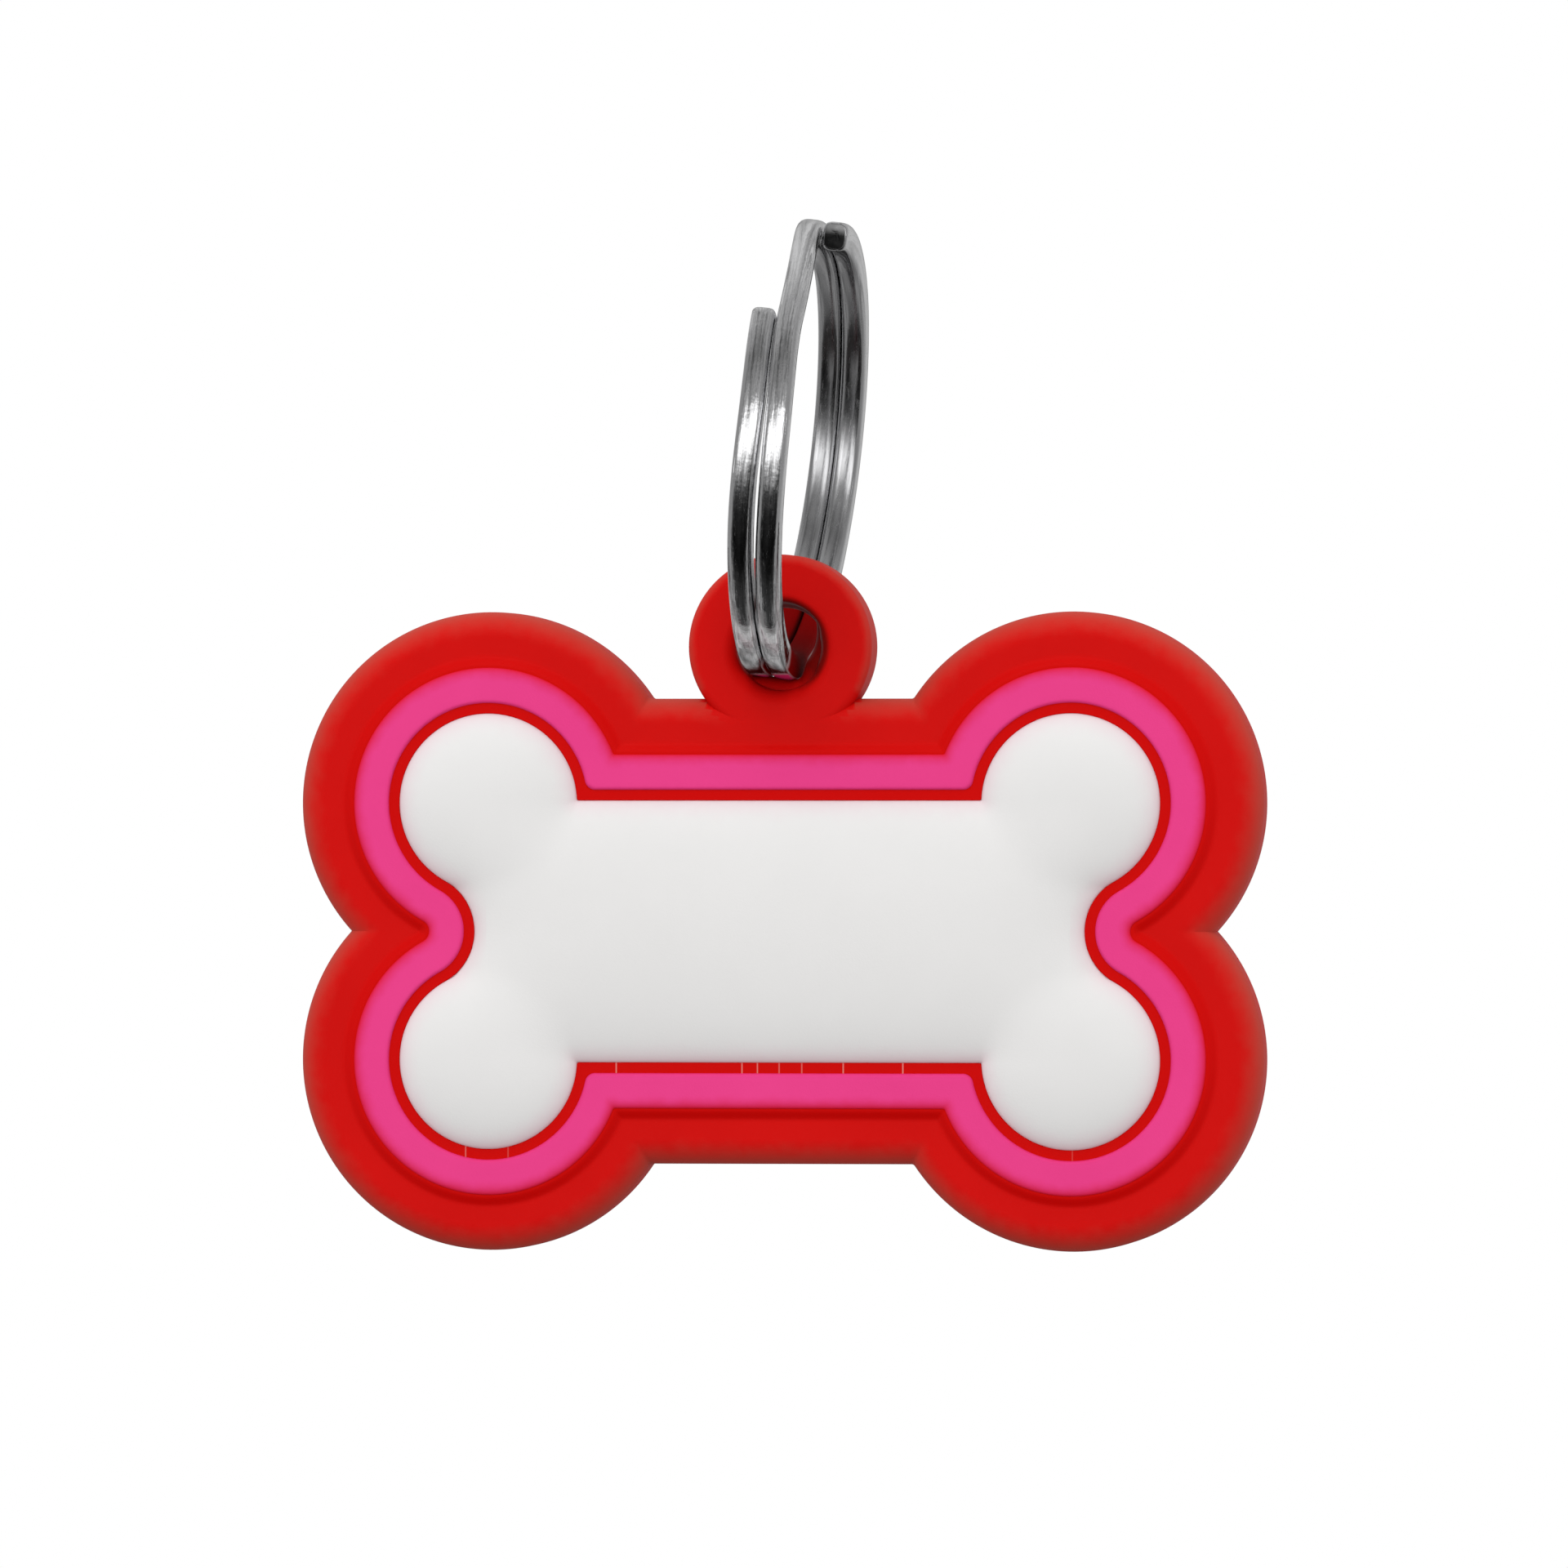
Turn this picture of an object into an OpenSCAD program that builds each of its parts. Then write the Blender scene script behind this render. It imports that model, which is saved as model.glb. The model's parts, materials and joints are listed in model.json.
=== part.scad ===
// Bone-shaped pet id tag: a soft moulded rubber body with two coloured inlays, hung on a split ring.
// Millimetres. X is the tag's length, -Y its written face, +Z up.
// The origin is the inside of the split ring's top, where a collar's loop bears.

/* [Bone] */
// Height of the shaft, from its top edge to its bottom edge
shaft_h = 20.2; // [19:0.1:22]
// Distance between the centres of the left and the right knuckles
knuckle_span = 25.4; // [23:0.1:36]
// Distance between the centres of the upper and the lower knuckles
knuckle_rise = 11.14; // [10:0.01:11.6]
// Radius of a knuckle at the outer edge
knuckle_r = 8.3; // [8.1:0.1:9.4]
// Thickness of the red body, front to back
body_t = 3; // [2.6:0.1:5]
// Radius of the rounding along the front edge
front_round = 1.1; // [0.4:0.1:1.3]
// Radius of the rounding along the back edge
back_round = 0.4; // [0.2:0.1:0.8]

/* [Hanging tab] */
// Outer radius of the tab
tab_r = 4; // [3.2:0.1:5]
// Height of the hole's centre above the bone's centre
tab_rise = 12.35; // [12:0.05:13.5]
// Radius of the hole that the split ring runs through
hole_r = 2; // [2:0.05:2.6]
// Radius of the rounding along the tab's edges
tab_round = 0.3; // [0.1:0.05:0.5]
// Radius of the rounding along the hole's two rims
rim_round = 0.35; // [0.1:0.05:0.6]

/* [Pink band] */
// Width of the red border between the outer edge and the band
border_w = 2.43; // [2:0.01:2.6]
// Width of the band
band_w = 1.53; // [1:0.01:1.8]
// Radius of the band's outer edge where two knuckles meet
notch_r = 0.5; // [0.5:0.05:1.2]
// Width of the red slope that climbs from the border to the band
slope_w = 0.5; // [0.2:0.05:0.5]
// Height that the slope climbs
slope_rise = 0.22; // [0.1:0.01:0.4]
// Height of the band's face above the top of the slope
band_proud = 0.1; // [0.05:0.01:0.3]
// Width of the bevel along the band's outer edge
band_bevel = 0.08; // [0.02:0.01:0.15]
// Depth of the band's channel below the border's face
band_depth = 0.6; // [0.3:0.05:1]

/* [White panel] */
// Width of the thin red line between the band and the panel
line_w = 0.43; // [0.3:0.01:0.6]
// Depth of the red line below the border's face
line_depth = 0.15; // [0.05:0.01:0.25]
// Height of the panel's edge above the border's face
panel_edge = 0.05; // [0:0.01:0.2]
// Height of the shaft's crown above the panel's edge
crown_h = 1.15; // [0.6:0.05:1.6]
// Height of each knuckle's dome above the panel's edge
dome_h = 1.05; // [0.6:0.05:1.6]
// Width of the slope at the crown's two ends, between the knuckles
crown_end_w = 2.3; // [1.5:0.1:3]
// Width of the ledge between the panel's outer edge and the foot of its crown and domes
panel_ledge = 0.1; // [0.05:0.01:0.2]
// Depth of the panel's pocket below the border's face
panel_depth = 0.6; // [0.3:0.05:1]
// Clearance between an inlay's sides and the red body
inlay_gap = 0.02; // [0.01:0.01:0.05]

/* [Split ring] */
// Outer diameter of the ring
ring_d = 20; // [18:0.5:24]
// Thickness of the wire, measured along the ring's radius
wire_t = 1.25; // [1:0.05:1.3]
// Width of the wire, measured along the ring's axis
wire_w = 1.06; // [0.9:0.02:1.1]
// Radius of the rounding on the wire's corners
wire_round = 0.35; // [0.1:0.05:0.4]
// Gap between the two turns
turn_gap = 0.04; // [0.02:0.01:0.1]
// Degrees from the ring's front, upwards, at which the front turn ends
front_end_a = 38; // [20:1:50]
// Degrees over which the ring is one wire and crosses from turn to turn
cross_a = 52; // [45:1:60]
// Degrees that the ring's top leans to the right
ring_lean = 6.7; // [0:0.1:10]
// Degrees that the ring's front turns to the left
ring_yaw = 3.2; // [0:0.1:6]
// How far the hole's centre lies to the right of the wire inside it
hang_x = 0.35; // [0:0.05:0.4]
// How far the hole's centre lies above the middle of the wire inside it
hang_z = 0.75; // [0.4:0.05:0.8]

/* [Hidden] */
$fn = 96;

body_red = "#cc1814";
band_pink = "#e74289";
panel_white = "#e7e7e7";
ring_steel = "#b9babc";

// Overrun of every cut past the face that it opens
overrun = 0.5;

// The bone's plan lies in X and Y, with its centre at the origin and its face towards +Z
knuckle_x = knuckle_span / 2;
knuckle_y = knuckle_rise / 2;
shaft_y = shaft_h / 2;
face_z = body_t / 2;
back_z = -face_z;

// Insets of the other outlines from the bone's outer edge
slope_in = border_w - slope_w;
band_out_in = border_w;
band_in_in = border_w + band_w;
panel_in = band_in_in + line_w;

// A round fillet touches both knuckles in each side notch, and every inset shares its centre.
// It grows where the knuckles would stand apart, so that it always joins them.
fillet_r = notch_r + max(0, knuckle_y - knuckle_r + border_w);
notch_x = knuckle_x + sqrt(pow(knuckle_r - border_w + fillet_r, 2) - pow(knuckle_y, 2));

// Heights of the faces
slope_z = face_z + slope_rise;
band_z = slope_z + band_proud;
line_z = face_z - line_depth;
band_floor_z = face_z - band_depth;
panel_floor_z = face_z - panel_depth;
panel_z = face_z + panel_edge;

// Radii of the arcs that crown the panel, each worked out from its width and its height
cap_r = knuckle_r - panel_in - panel_ledge;
crown_y = shaft_y - panel_in - panel_ledge;
dome_r = (pow(cap_r, 2) + pow(dome_h, 2)) / (2 * dome_h);
crown_r = (pow(crown_y, 2) + pow(crown_h, 2)) / (2 * crown_h);

// The split ring
ring_in_r = ring_d / 2 - wire_t;
ring_mid_r = ring_d / 2 - wire_t / 2;
turn_pitch = wire_w + turn_gap;
turn_a = 360 - cross_a;
back_end_a = front_end_a + cross_a;
cross_tilt = asin(turn_pitch / 2 / (ring_mid_r * sin(cross_a / 2)));
// The crossing wire runs this many degrees into each turn, past its own slanted end
cross_lap_a = 1.2 * atan(wire_w / 2 * tan(cross_tilt) / ring_mid_r);

// Where the tag hangs: the hole's centre, from the ring's top
hole_x = hang_x - (ring_in_r + ring_mid_r) * sin(ring_lean);
hole_z = hang_z - (ring_in_r + ring_mid_r) * cos(ring_lean);

function notch_at(inset) = fillet_r + inset - border_w;

// Carries the bone's plan to where the tag hangs, with its face towards -Y
module hang_tag() {
    translate([hole_x, 0, hole_z - tab_rise]) rotate([90, 0, 0]) children();
}

// Repeats a shape at the four knuckles
module at_knuckles() {
    for (side = [-1, 1], level = [-1, 1])
        translate([side * knuckle_x, level * knuckle_y, 0]) children();
}

// Carries a section drawn in Y and Z along the shaft, from knuckle to knuckle
module along_shaft() {
    translate([-knuckle_x, 0, 0]) rotate([90, 0, 90]) linear_extrude(knuckle_span) children();
}

// The ground between two knuckles, out to the centre of the notch's fillet
module notch_ground(side, low_z, high_z) {
    translate([0, 0, low_z]) linear_extrude(high_z - low_z)
        polygon([[side * knuckle_x, knuckle_y], [side * knuckle_x, -knuckle_y], [side * notch_x, 0]]);
}

// A bone whose outline closes in from one inset at its foot to another at its top
module bone(low_in, high_in, low_z, high_z) {
    h = high_z - low_z;
    at_knuckles() translate([0, 0, low_z])
        cylinder(h = h, r1 = knuckle_r - low_in, r2 = knuckle_r - high_in);
    along_shaft() polygon([
        [low_in - shaft_y, low_z], [shaft_y - low_in, low_z],
        [shaft_y - high_in, high_z], [high_in - shaft_y, high_z]
    ]);
    for (side = [-1, 1]) difference() {
        notch_ground(side, low_z, high_z);
        translate([side * notch_x, 0, low_z])
            cylinder(h = h, r1 = notch_at(low_in), r2 = notch_at(high_in));
    }
}

// Half of a slab's section, from the middle out to a rounded edge
module edge_section(w, top_r, foot_r) {
    translate([0, back_z + foot_r]) square([w, body_t - top_r - foot_r]);
    translate([0, back_z]) square([w - max(top_r, foot_r), body_t]);
    translate([w - top_r, face_z - top_r]) circle(top_r);
    translate([w - foot_r, back_z + foot_r]) circle(foot_r);
}

// The plain rounded slab in the bone's full outline
module bone_slab() {
    at_knuckles() rotate_extrude() edge_section(knuckle_r, front_round, back_round);
    along_shaft() {
        edge_section(shaft_y, front_round, back_round);
        mirror([1, 0]) edge_section(shaft_y, front_round, back_round);
    }
}

// The hole through the tab, with both rims rounded
module tab_hole() {
    translate([0, 0, back_z - overrun]) cylinder(h = body_t + 2 * overrun, r = hole_r);
    for (side = [0, 1]) mirror([0, 0, side]) rotate_extrude() difference() {
        translate([hole_r - rim_round, face_z - rim_round]) square([2 * rim_round, rim_round + overrun]);
        translate([hole_r + rim_round, face_z - rim_round]) circle(rim_round);
    }
}

// The red rubber body: slab, tab, the slope up to the band, and the seats of both inlays
module red_body() {
    color(body_red) hang_tag() difference() {
        union() {
            bone_slab();
            translate([0, tab_rise, 0]) rotate_extrude() edge_section(tab_r, tab_round, tab_round);
            bone(slope_in, band_out_in, face_z, slope_z);
        }
        translate([0, tab_rise, 0]) tab_hole();
        bone(band_out_in - inlay_gap, band_out_in - inlay_gap, line_z, slope_z + overrun);
        difference() {
            bone(band_out_in - inlay_gap, band_out_in - inlay_gap, band_floor_z, line_z + overrun);
            bone(band_in_in + inlay_gap, band_in_in + inlay_gap, band_floor_z - overrun, line_z + 2 * overrun);
        }
        bone(panel_in - inlay_gap, panel_in - inlay_gap, panel_floor_z, line_z + overrun);
    }
}

// The flat pink band, bevelled along its outer edge
module pink_band() {
    color(band_pink) hang_tag() difference() {
        union() {
            bone(band_out_in, band_out_in, band_floor_z, band_z - band_bevel);
            bone(band_out_in, band_out_in + band_bevel, band_z - band_bevel, band_z);
        }
        bone(band_in_in, band_in_in, band_floor_z - overrun, band_z + overrun);
    }
}

// The panel's crown along the shaft, which slopes down to the notch at either end
module panel_crown() {
    foot_r = notch_at(panel_in) + 2 * panel_ledge;
    flare = crown_end_w / crown_h;
    difference() {
        intersection() {
            union() {
                along_shaft() translate([-crown_y, panel_floor_z])
                    square([2 * crown_y, panel_z + crown_h - panel_floor_z]);
                for (side = [-1, 1]) notch_ground(side, panel_floor_z, panel_z + crown_h);
            }
            translate([-notch_x, 0, panel_z + crown_h - crown_r]) rotate([0, 90, 0])
                cylinder(h = 2 * notch_x, r = crown_r);
        }
        for (side = [-1, 1]) translate([side * notch_x, 0, 0]) {
            translate([0, 0, panel_floor_z - overrun])
                cylinder(h = panel_z + crown_h - panel_floor_z + 2 * overrun, r = foot_r);
            translate([0, 0, panel_z - panel_ledge]) cylinder(
                h = panel_ledge + crown_h + overrun,
                r1 = foot_r + panel_ledge * (1 - flare),
                r2 = foot_r + panel_ledge + (crown_h + overrun) * flare
            );
        }
    }
}

// The white writing panel: a plate with a crowned shaft between four domed knuckles
module white_panel() {
    color(panel_white) hang_tag() {
        bone(panel_in, panel_in, panel_floor_z, panel_z);
        at_knuckles() intersection() {
            translate([0, 0, panel_floor_z]) cylinder(h = panel_z + dome_h - panel_floor_z, r = cap_r);
            translate([0, 0, panel_z + dome_h - dome_r]) sphere(dome_r);
        }
        panel_crown();
    }
}

// The wire's rounded section, at the ring's middle radius
module wire_section() {
    translate([ring_mid_r, 0]) {
        square([wire_t - 2 * wire_round, wire_w], center = true);
        square([wire_t, wire_w - 2 * wire_round], center = true);
        for (u = [-1, 1], v = [-1, 1])
            translate([u * (wire_t / 2 - wire_round), v * (wire_w / 2 - wire_round)]) circle(wire_round);
    }
}

// A stretch of the wire, from one angle on by a number of degrees, counted from the ring's front
module wire_arc(start_a, length_a) {
    rotate([0, 0, start_a]) rotate_extrude(angle = length_a) wire_section();
}

// The split ring: one wire wound into two turns side by side, which cross over near the top
module split_ring() {
    color(ring_steel) rotate([0, ring_lean, 0]) rotate([0, 0, -ring_yaw])
    translate([0, 0, -ring_in_r]) rotate([90, 0, -90]) {
        for (side = [-1, 1]) translate([0, 0, side * turn_pitch / 2]) wire_arc(back_end_a, turn_a);
        mid_a = front_end_a + cross_a / 2;
        rotate(a = cross_tilt, v = [cos(mid_a), sin(mid_a), 0])
            wire_arc(front_end_a - cross_lap_a, cross_a + 2 * cross_lap_a);
    }
}

red_body();
pink_band();
white_panel();
split_ring();
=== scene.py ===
"""Looks of a bone-shaped pet id tag of moulded rubber, hung on a wound split ring."""

import json
import logging
import math
from dataclasses import dataclass, field
from enum import Enum
from functools import partial, reduce

import bmesh
import bpy
import numpy as np
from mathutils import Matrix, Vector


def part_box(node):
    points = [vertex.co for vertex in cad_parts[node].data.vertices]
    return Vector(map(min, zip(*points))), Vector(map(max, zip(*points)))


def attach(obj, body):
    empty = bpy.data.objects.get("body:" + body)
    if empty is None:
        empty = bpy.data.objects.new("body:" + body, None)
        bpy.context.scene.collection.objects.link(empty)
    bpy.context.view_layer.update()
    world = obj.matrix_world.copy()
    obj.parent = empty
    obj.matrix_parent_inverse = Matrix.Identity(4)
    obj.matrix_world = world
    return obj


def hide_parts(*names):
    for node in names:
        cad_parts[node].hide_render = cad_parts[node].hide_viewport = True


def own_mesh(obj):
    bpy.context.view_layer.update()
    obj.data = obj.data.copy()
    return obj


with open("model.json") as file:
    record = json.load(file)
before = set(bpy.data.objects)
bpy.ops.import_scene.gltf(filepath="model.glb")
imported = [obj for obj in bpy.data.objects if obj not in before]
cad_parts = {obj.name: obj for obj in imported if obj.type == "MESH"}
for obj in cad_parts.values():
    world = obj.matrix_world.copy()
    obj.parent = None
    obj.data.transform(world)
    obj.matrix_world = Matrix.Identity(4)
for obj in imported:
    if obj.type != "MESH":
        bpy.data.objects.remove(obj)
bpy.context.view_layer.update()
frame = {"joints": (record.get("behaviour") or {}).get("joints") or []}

MM = 0.001
# A distance in millimetres at which no rim's tint shows
NO_RIM = 9.0
Pair = tuple[float, float]
Triple = tuple[float, float, float]
Colour = tuple[float, float, float, float]
Piece = bpy.types.Object
Material = bpy.types.Material
Socket = bpy.types.NodeSocket
Outputs = bpy.types.NodeOutputs
ShaderNode = bpy.types.Node
log = logging.getLogger("pet_id_tag")


class Body(Enum):
    """The CAD bodies that pieces ride on."""

    TAG = "tag"
    RING = "split_ring"


class Node(Enum):
    """The CAD nodes that pieces stand for."""

    RED_BODY = "red_body"
    PINK_BAND = "pink_band"
    WHITE_PANEL = "white_panel"
    SPLIT_RING = "split_ring"


class Slot(Enum):
    """The record's material slots."""

    RED = "red_rubber"
    PINK = "pink_rubber"
    WHITE = "white_rubber"
    STEEL = "polished_steel"


class Effect(Enum):
    """The node groups that more than one material uses."""

    GRAIN = "Mould grain"
    SPECKS = "Dust specks"
    RIM = "Rim tint"


def srgb(*seen: int) -> Colour:
    """Turns a colour as seen on a screen into the shader's linear colour.

    Args:
        seen: Red, green and blue, from 0 to 255.

    Returns:
        Linear red, green and blue, with an alpha of 1.
    """
    share = np.array(seen) / 255
    linear = np.where(share <= 0.04045, share / 12.92, ((share + 0.055) / 1.055) ** 2.4)
    return (*linear.tolist(), 1.0)


def grey(level: float) -> Colour:
    """A neutral linear colour of one level."""
    return (level, level, level, 1.0)


# Shapes


def ease(share: np.ndarray) -> np.ndarray:
    """A smooth climb from 0 to 1: s^2 (3 - 2 s), with s held to 0 to 1."""
    share = np.clip(share, 0, 1)
    return share**2 * (3 - 2 * share)


def degrees_from(turn: np.ndarray, at: float) -> np.ndarray:
    """How many degrees angles in radians lie from a direction in degrees, either way round."""
    return np.abs((np.degrees(turn) - at + 180) % 360 - 180)


def arc_profile(centre: Pair, radii: Pair, start: float, end: float, steps: int) -> np.ndarray:
    """Points on an upright ellipse: centre + (a cos t, b sin t), with t from start to end.

    Args:
        centre: Inset and height of the ellipse's centre, in millimetres.
        radii: Its half sizes a and b, in millimetres.
        start: First angle, in degrees.
        end: Last angle, in degrees.
        steps: Number of stretches between the two.

    Returns:
        An array of steps + 1 rows of inset and height.
    """
    turn = np.radians(np.linspace(start, end, steps + 1))
    return np.stack([centre[0] + radii[0] * np.cos(turn), centre[1] + radii[1] * np.sin(turn)], 1)


def with_corners(profile: np.ndarray, outer: float, inner: float) -> np.ndarray:
    """Adds a corner radius to each row of a profile, which changes evenly with the inset.

    Args:
        profile: Rows of inset and height, in millimetres.
        outer: The radius at the least inset.
        inner: The radius at the greatest inset.

    Returns:
        Rows of inset, height and corner radius.
    """
    inset = profile[:, 0]
    share = (inset - inset.min()) / max(float(np.ptp(inset)), 1e-9)
    return np.column_stack([profile, outer + (inner - outer) * share])


@dataclass(frozen=True)
class BoneOutline:
    """The bone's outline and every outline inside it, in millimetres in the plan."""

    shaft_h: float = 20.2
    knuckle_span: float = 25.4
    knuckle_rise: float = 11.14
    knuckle_r: float = 8.3
    border_w: float = 2.43
    notch_r: float = 0.5
    spine_x: float = 8.0
    shaft_steps: int = 16
    axis_steps: int = 8
    notch_steps: int = 14
    knuckle_steps: int = 96

    @property
    def knuckle(self) -> complex:
        """Centre of the upper right knuckle."""
        return complex(self.knuckle_span / 2, self.knuckle_rise / 2)

    @property
    def notch_x(self) -> float:
        """Where the notch's fillet has its centre: it touches both knuckles from outside."""
        reach = self.knuckle_r - self.border_w + self.notch_r
        return self.knuckle.real + math.sqrt(reach**2 - self.knuckle.imag**2)

    def quarter(self, inset: float, corner: float) -> np.ndarray:
        """The upper right quarter of an outline, from the top middle to the right notch.

        It is the shaft's line at y = shaft_h / 2 - inset, an arc of the corner's radius that
        touches that line and the knuckle's arc of radius knuckle_r - inset from outside, that
        knuckle arc, and the notch's arc of radius notch_r + inset - border_w. Where the notch's
        radius would be negative, the knuckles meet in a point on the axis.

        Args:
            inset: How far the outline lies inside the bone's outer edge.
            corner: Radius of the corner between shaft and knuckle.

        Returns:
            Complex points, x + iy.
        """
        knuckle, radius = self.knuckle, self.knuckle_r - inset
        line_y = self.shaft_h / 2 - inset
        rise = line_y + corner - knuckle.imag
        centre = complex(knuckle.real - math.sqrt((radius + corner) ** 2 - rise**2), line_y + corner)
        first = math.atan2(centre.imag - knuckle.imag, centre.real - knuckle.real)
        shaft = np.linspace(0, centre.real, self.shaft_steps, endpoint=False) + 1j * line_y
        corner_steps = self.axis_steps + self.notch_steps
        turn = np.linspace(-math.pi / 2, first - math.pi, corner_steps, endpoint=False)
        turned = centre + corner * np.exp(1j * turn)
        notch_radius = self.notch_r + inset - self.border_w
        if notch_radius > 0:
            last = math.atan2(-knuckle.imag, self.notch_x - knuckle.real)
            sweep = np.linspace(math.pi + last, math.pi, self.notch_steps + 1)
            notch = self.notch_x + notch_radius * np.exp(1j * sweep)
        else:
            last = -math.asin(knuckle.imag / radius)
            notch = np.full(self.notch_steps + 1, knuckle + radius * np.exp(1j * last))
        swing = np.linspace(first, last, self.knuckle_steps, endpoint=False)
        return np.concatenate([shaft, turned, knuckle + radius * np.exp(1j * swing), notch])

    def spine_quarter(self) -> np.ndarray:
        """For each point of quarter(), the point on the bone's spine that a fill runs to.

        The shaft's points run to the axis, the corner's to the axis and on up the line from
        the axis to the knuckle's centre, the knuckle's to its centre, and the notch's back down
        that line.

        Returns:
            Complex points, x + iy.
        """
        knuckle = self.knuckle
        shaft = np.linspace(0, self.spine_x, self.shaft_steps, endpoint=False) + 0j
        axis = np.linspace(self.spine_x, knuckle.real, self.axis_steps, endpoint=False) + 0j
        climb = knuckle.real + 1j * np.linspace(0, knuckle.imag, self.notch_steps, endpoint=False)
        arc = np.full(self.knuckle_steps, knuckle)
        fall = knuckle - 1j * np.linspace(0, knuckle.imag, self.notch_steps + 1)
        return np.concatenate([shaft, axis, climb, arc, fall])

    @staticmethod
    def whole(quarter: np.ndarray) -> np.ndarray:
        """Mirrors a quarter into the closed loop, which runs clockwise from the top middle."""
        back = np.conj(quarter[::-1])
        return np.concatenate([quarter[:-1], back[:-1], -quarter[:-1], -back[:-1]])

    def loop(self, inset: float, corner: float) -> np.ndarray:
        """The whole closed outline at an inset."""
        return self.whole(self.quarter(inset, corner))

    def loft(self, profile: np.ndarray) -> np.ndarray:
        """Carries a profile round the bone.

        Args:
            profile: Rows of inset, height and corner radius, in millimetres.

        Returns:
            A grid of plan points: rows along the profile, columns round the bone.
        """
        loops = np.stack([self.loop(inset, corner) for inset, _, corner in profile])
        heights = np.repeat(profile[:, 1:2], loops.shape[1], axis=1)
        return np.stack([loops.real, loops.imag, heights], axis=2)

    def fill(self, inset: float, corner: float, height: float, steps: np.ndarray) -> np.ndarray:
        """A level sheet from an outline in to the spine: P + (S - P) t for each t in steps.

        Args:
            inset: The outline's inset.
            corner: The outline's corner radius.
            height: Height of the sheet.
            steps: Shares of the way from the outline to the spine.

        Returns:
            A grid of plan points: rows from the outline inwards, columns round the bone.
        """
        edge, spine = self.loop(inset, corner), self.whole(self.spine_quarter())
        flat = edge + (spine - edge) * steps[:, None]
        return np.stack([flat.real, flat.imag, np.full(flat.shape, height)], axis=2)


def add_object(name: str, data: bpy.types.ID) -> Piece:
    """Makes an object at the origin and links it to the scene.

    Args:
        name: The object's name.
        data: Its mesh, lamp or camera.

    Returns:
        The new object.
    """
    made = bpy.data.objects.new(name, data)
    bpy.context.scene.collection.objects.link(made)
    return made


def add_mesh(name: str, points: np.ndarray, quads: np.ndarray) -> Piece:
    """Makes a mesh object.

    Args:
        name: The name of the mesh and of the object.
        points: The points, three numbers each, in metres.
        quads: The faces, each as the indices of four points.

    Returns:
        The new object.
    """
    mesh = bpy.data.meshes.new(name)
    mesh.from_pydata(points.reshape(-1, 3).tolist(), [], quads.reshape(-1, 4).tolist())
    return add_object(name, mesh)


def gather(items: bpy.types.bpy_prop_collection, name: str, kind: type = np.float32) -> np.ndarray:
    """Reads one property of every item at once.

    Args:
        items: The items, such as a mesh's points or an attribute's data.
        name: The property's name. The name co gives three numbers for each item.
        kind: The numbers' type.

    Returns:
        One flat array.
    """
    found = np.empty(len(items) * (3 if name == "co" else 1), kind)
    items.foreach_get(name, found)
    return found


@dataclass
class Skin:
    """Gathers grids of points into one closed mesh, with named values on its points."""

    name: str
    values: tuple[str, ...] = ()
    points: list[np.ndarray] = field(default_factory=list)
    faces: list[np.ndarray] = field(default_factory=list)
    marks: dict[str, list[np.ndarray]] = field(default_factory=dict)
    count: int = 0

    def grid(self, points: np.ndarray, closed: bool = False, **marks: object) -> None:
        """Adds a grid whose columns close on themselves.

        Args:
            points: Rows by columns by 3, in metres.
            closed: True if the last row also joins the first.
            marks: Values by their names: for each point, one for each row or column, or one for all.
        """
        rows, columns = points.shape[:2]
        low = np.arange(rows * columns).reshape(rows, columns) + self.count
        high = np.roll(low, -1, axis=0)
        if not closed:
            low, high = low[:-1], high[:-1]
        quads = np.stack([low, np.roll(low, -1, axis=1), np.roll(high, -1, axis=1), high], axis=-1)
        self.faces.append(quads.reshape(-1, 4))
        self.points.append(points.reshape(-1, 3))
        for value in self.values:
            given = np.broadcast_to(marks.get(value, 0.0), (rows, columns))
            self.marks.setdefault(value, []).append(given.ravel())
        self.count += rows * columns

    def build(self, sharp: float = 40.0) -> Piece:
        """Makes the object, with doubles merged and faces turned outwards.

        Args:
            sharp: Degrees between two faces past which their edge stays sharp.

        Returns:
            The new object, at the origin.
        """
        piece = add_mesh(self.name, np.concatenate(self.points), np.concatenate(self.faces))
        for value in self.values:
            layer = piece.data.attributes.new(value, "FLOAT", "POINT")
            layer.data.foreach_set("value", np.concatenate(self.marks[value]).astype(np.float32))
        clean(piece, sharp)
        return piece


def clean(piece: Piece, sharp: float) -> None:
    """Merges doubles, drops faces without area, turns all outwards and shades them smooth.

    Args:
        piece: The piece.
        sharp: Degrees between two faces past which their edge stays sharp.
    """
    work = bmesh.new()
    work.from_mesh(piece.data)
    bmesh.ops.remove_doubles(work, verts=work.verts, dist=5e-7)
    bmesh.ops.dissolve_degenerate(work, edges=work.edges, dist=1e-7)
    bmesh.ops.recalc_face_normals(work, faces=work.faces)
    work.to_mesh(piece.data)
    work.free()
    piece.data.shade_smooth()
    piece.data.set_sharp_from_angle(angle=math.radians(sharp))


def join_shapes(target: Piece, tool: Piece, operation: str) -> None:
    """Adds a second closed shape to a piece, or cuts it out, and takes the second one away.

    Args:
        target: The piece that stays.
        tool: The shape that is used up.
        operation: UNION or DIFFERENCE.
    """
    step = target.modifiers.new("shape", "BOOLEAN")
    step.operation, step.solver, step.object = operation, "EXACT", tool
    graph = bpy.context.evaluated_depsgraph_get()
    made = bpy.data.meshes.new_from_object(target.evaluated_get(graph))
    target.modifiers.clear()
    spent = target.data
    target.data = made
    bpy.data.meshes.remove(spent)
    bpy.data.objects.remove(tool)
    target.data.name = target.name


# Finishes


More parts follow.
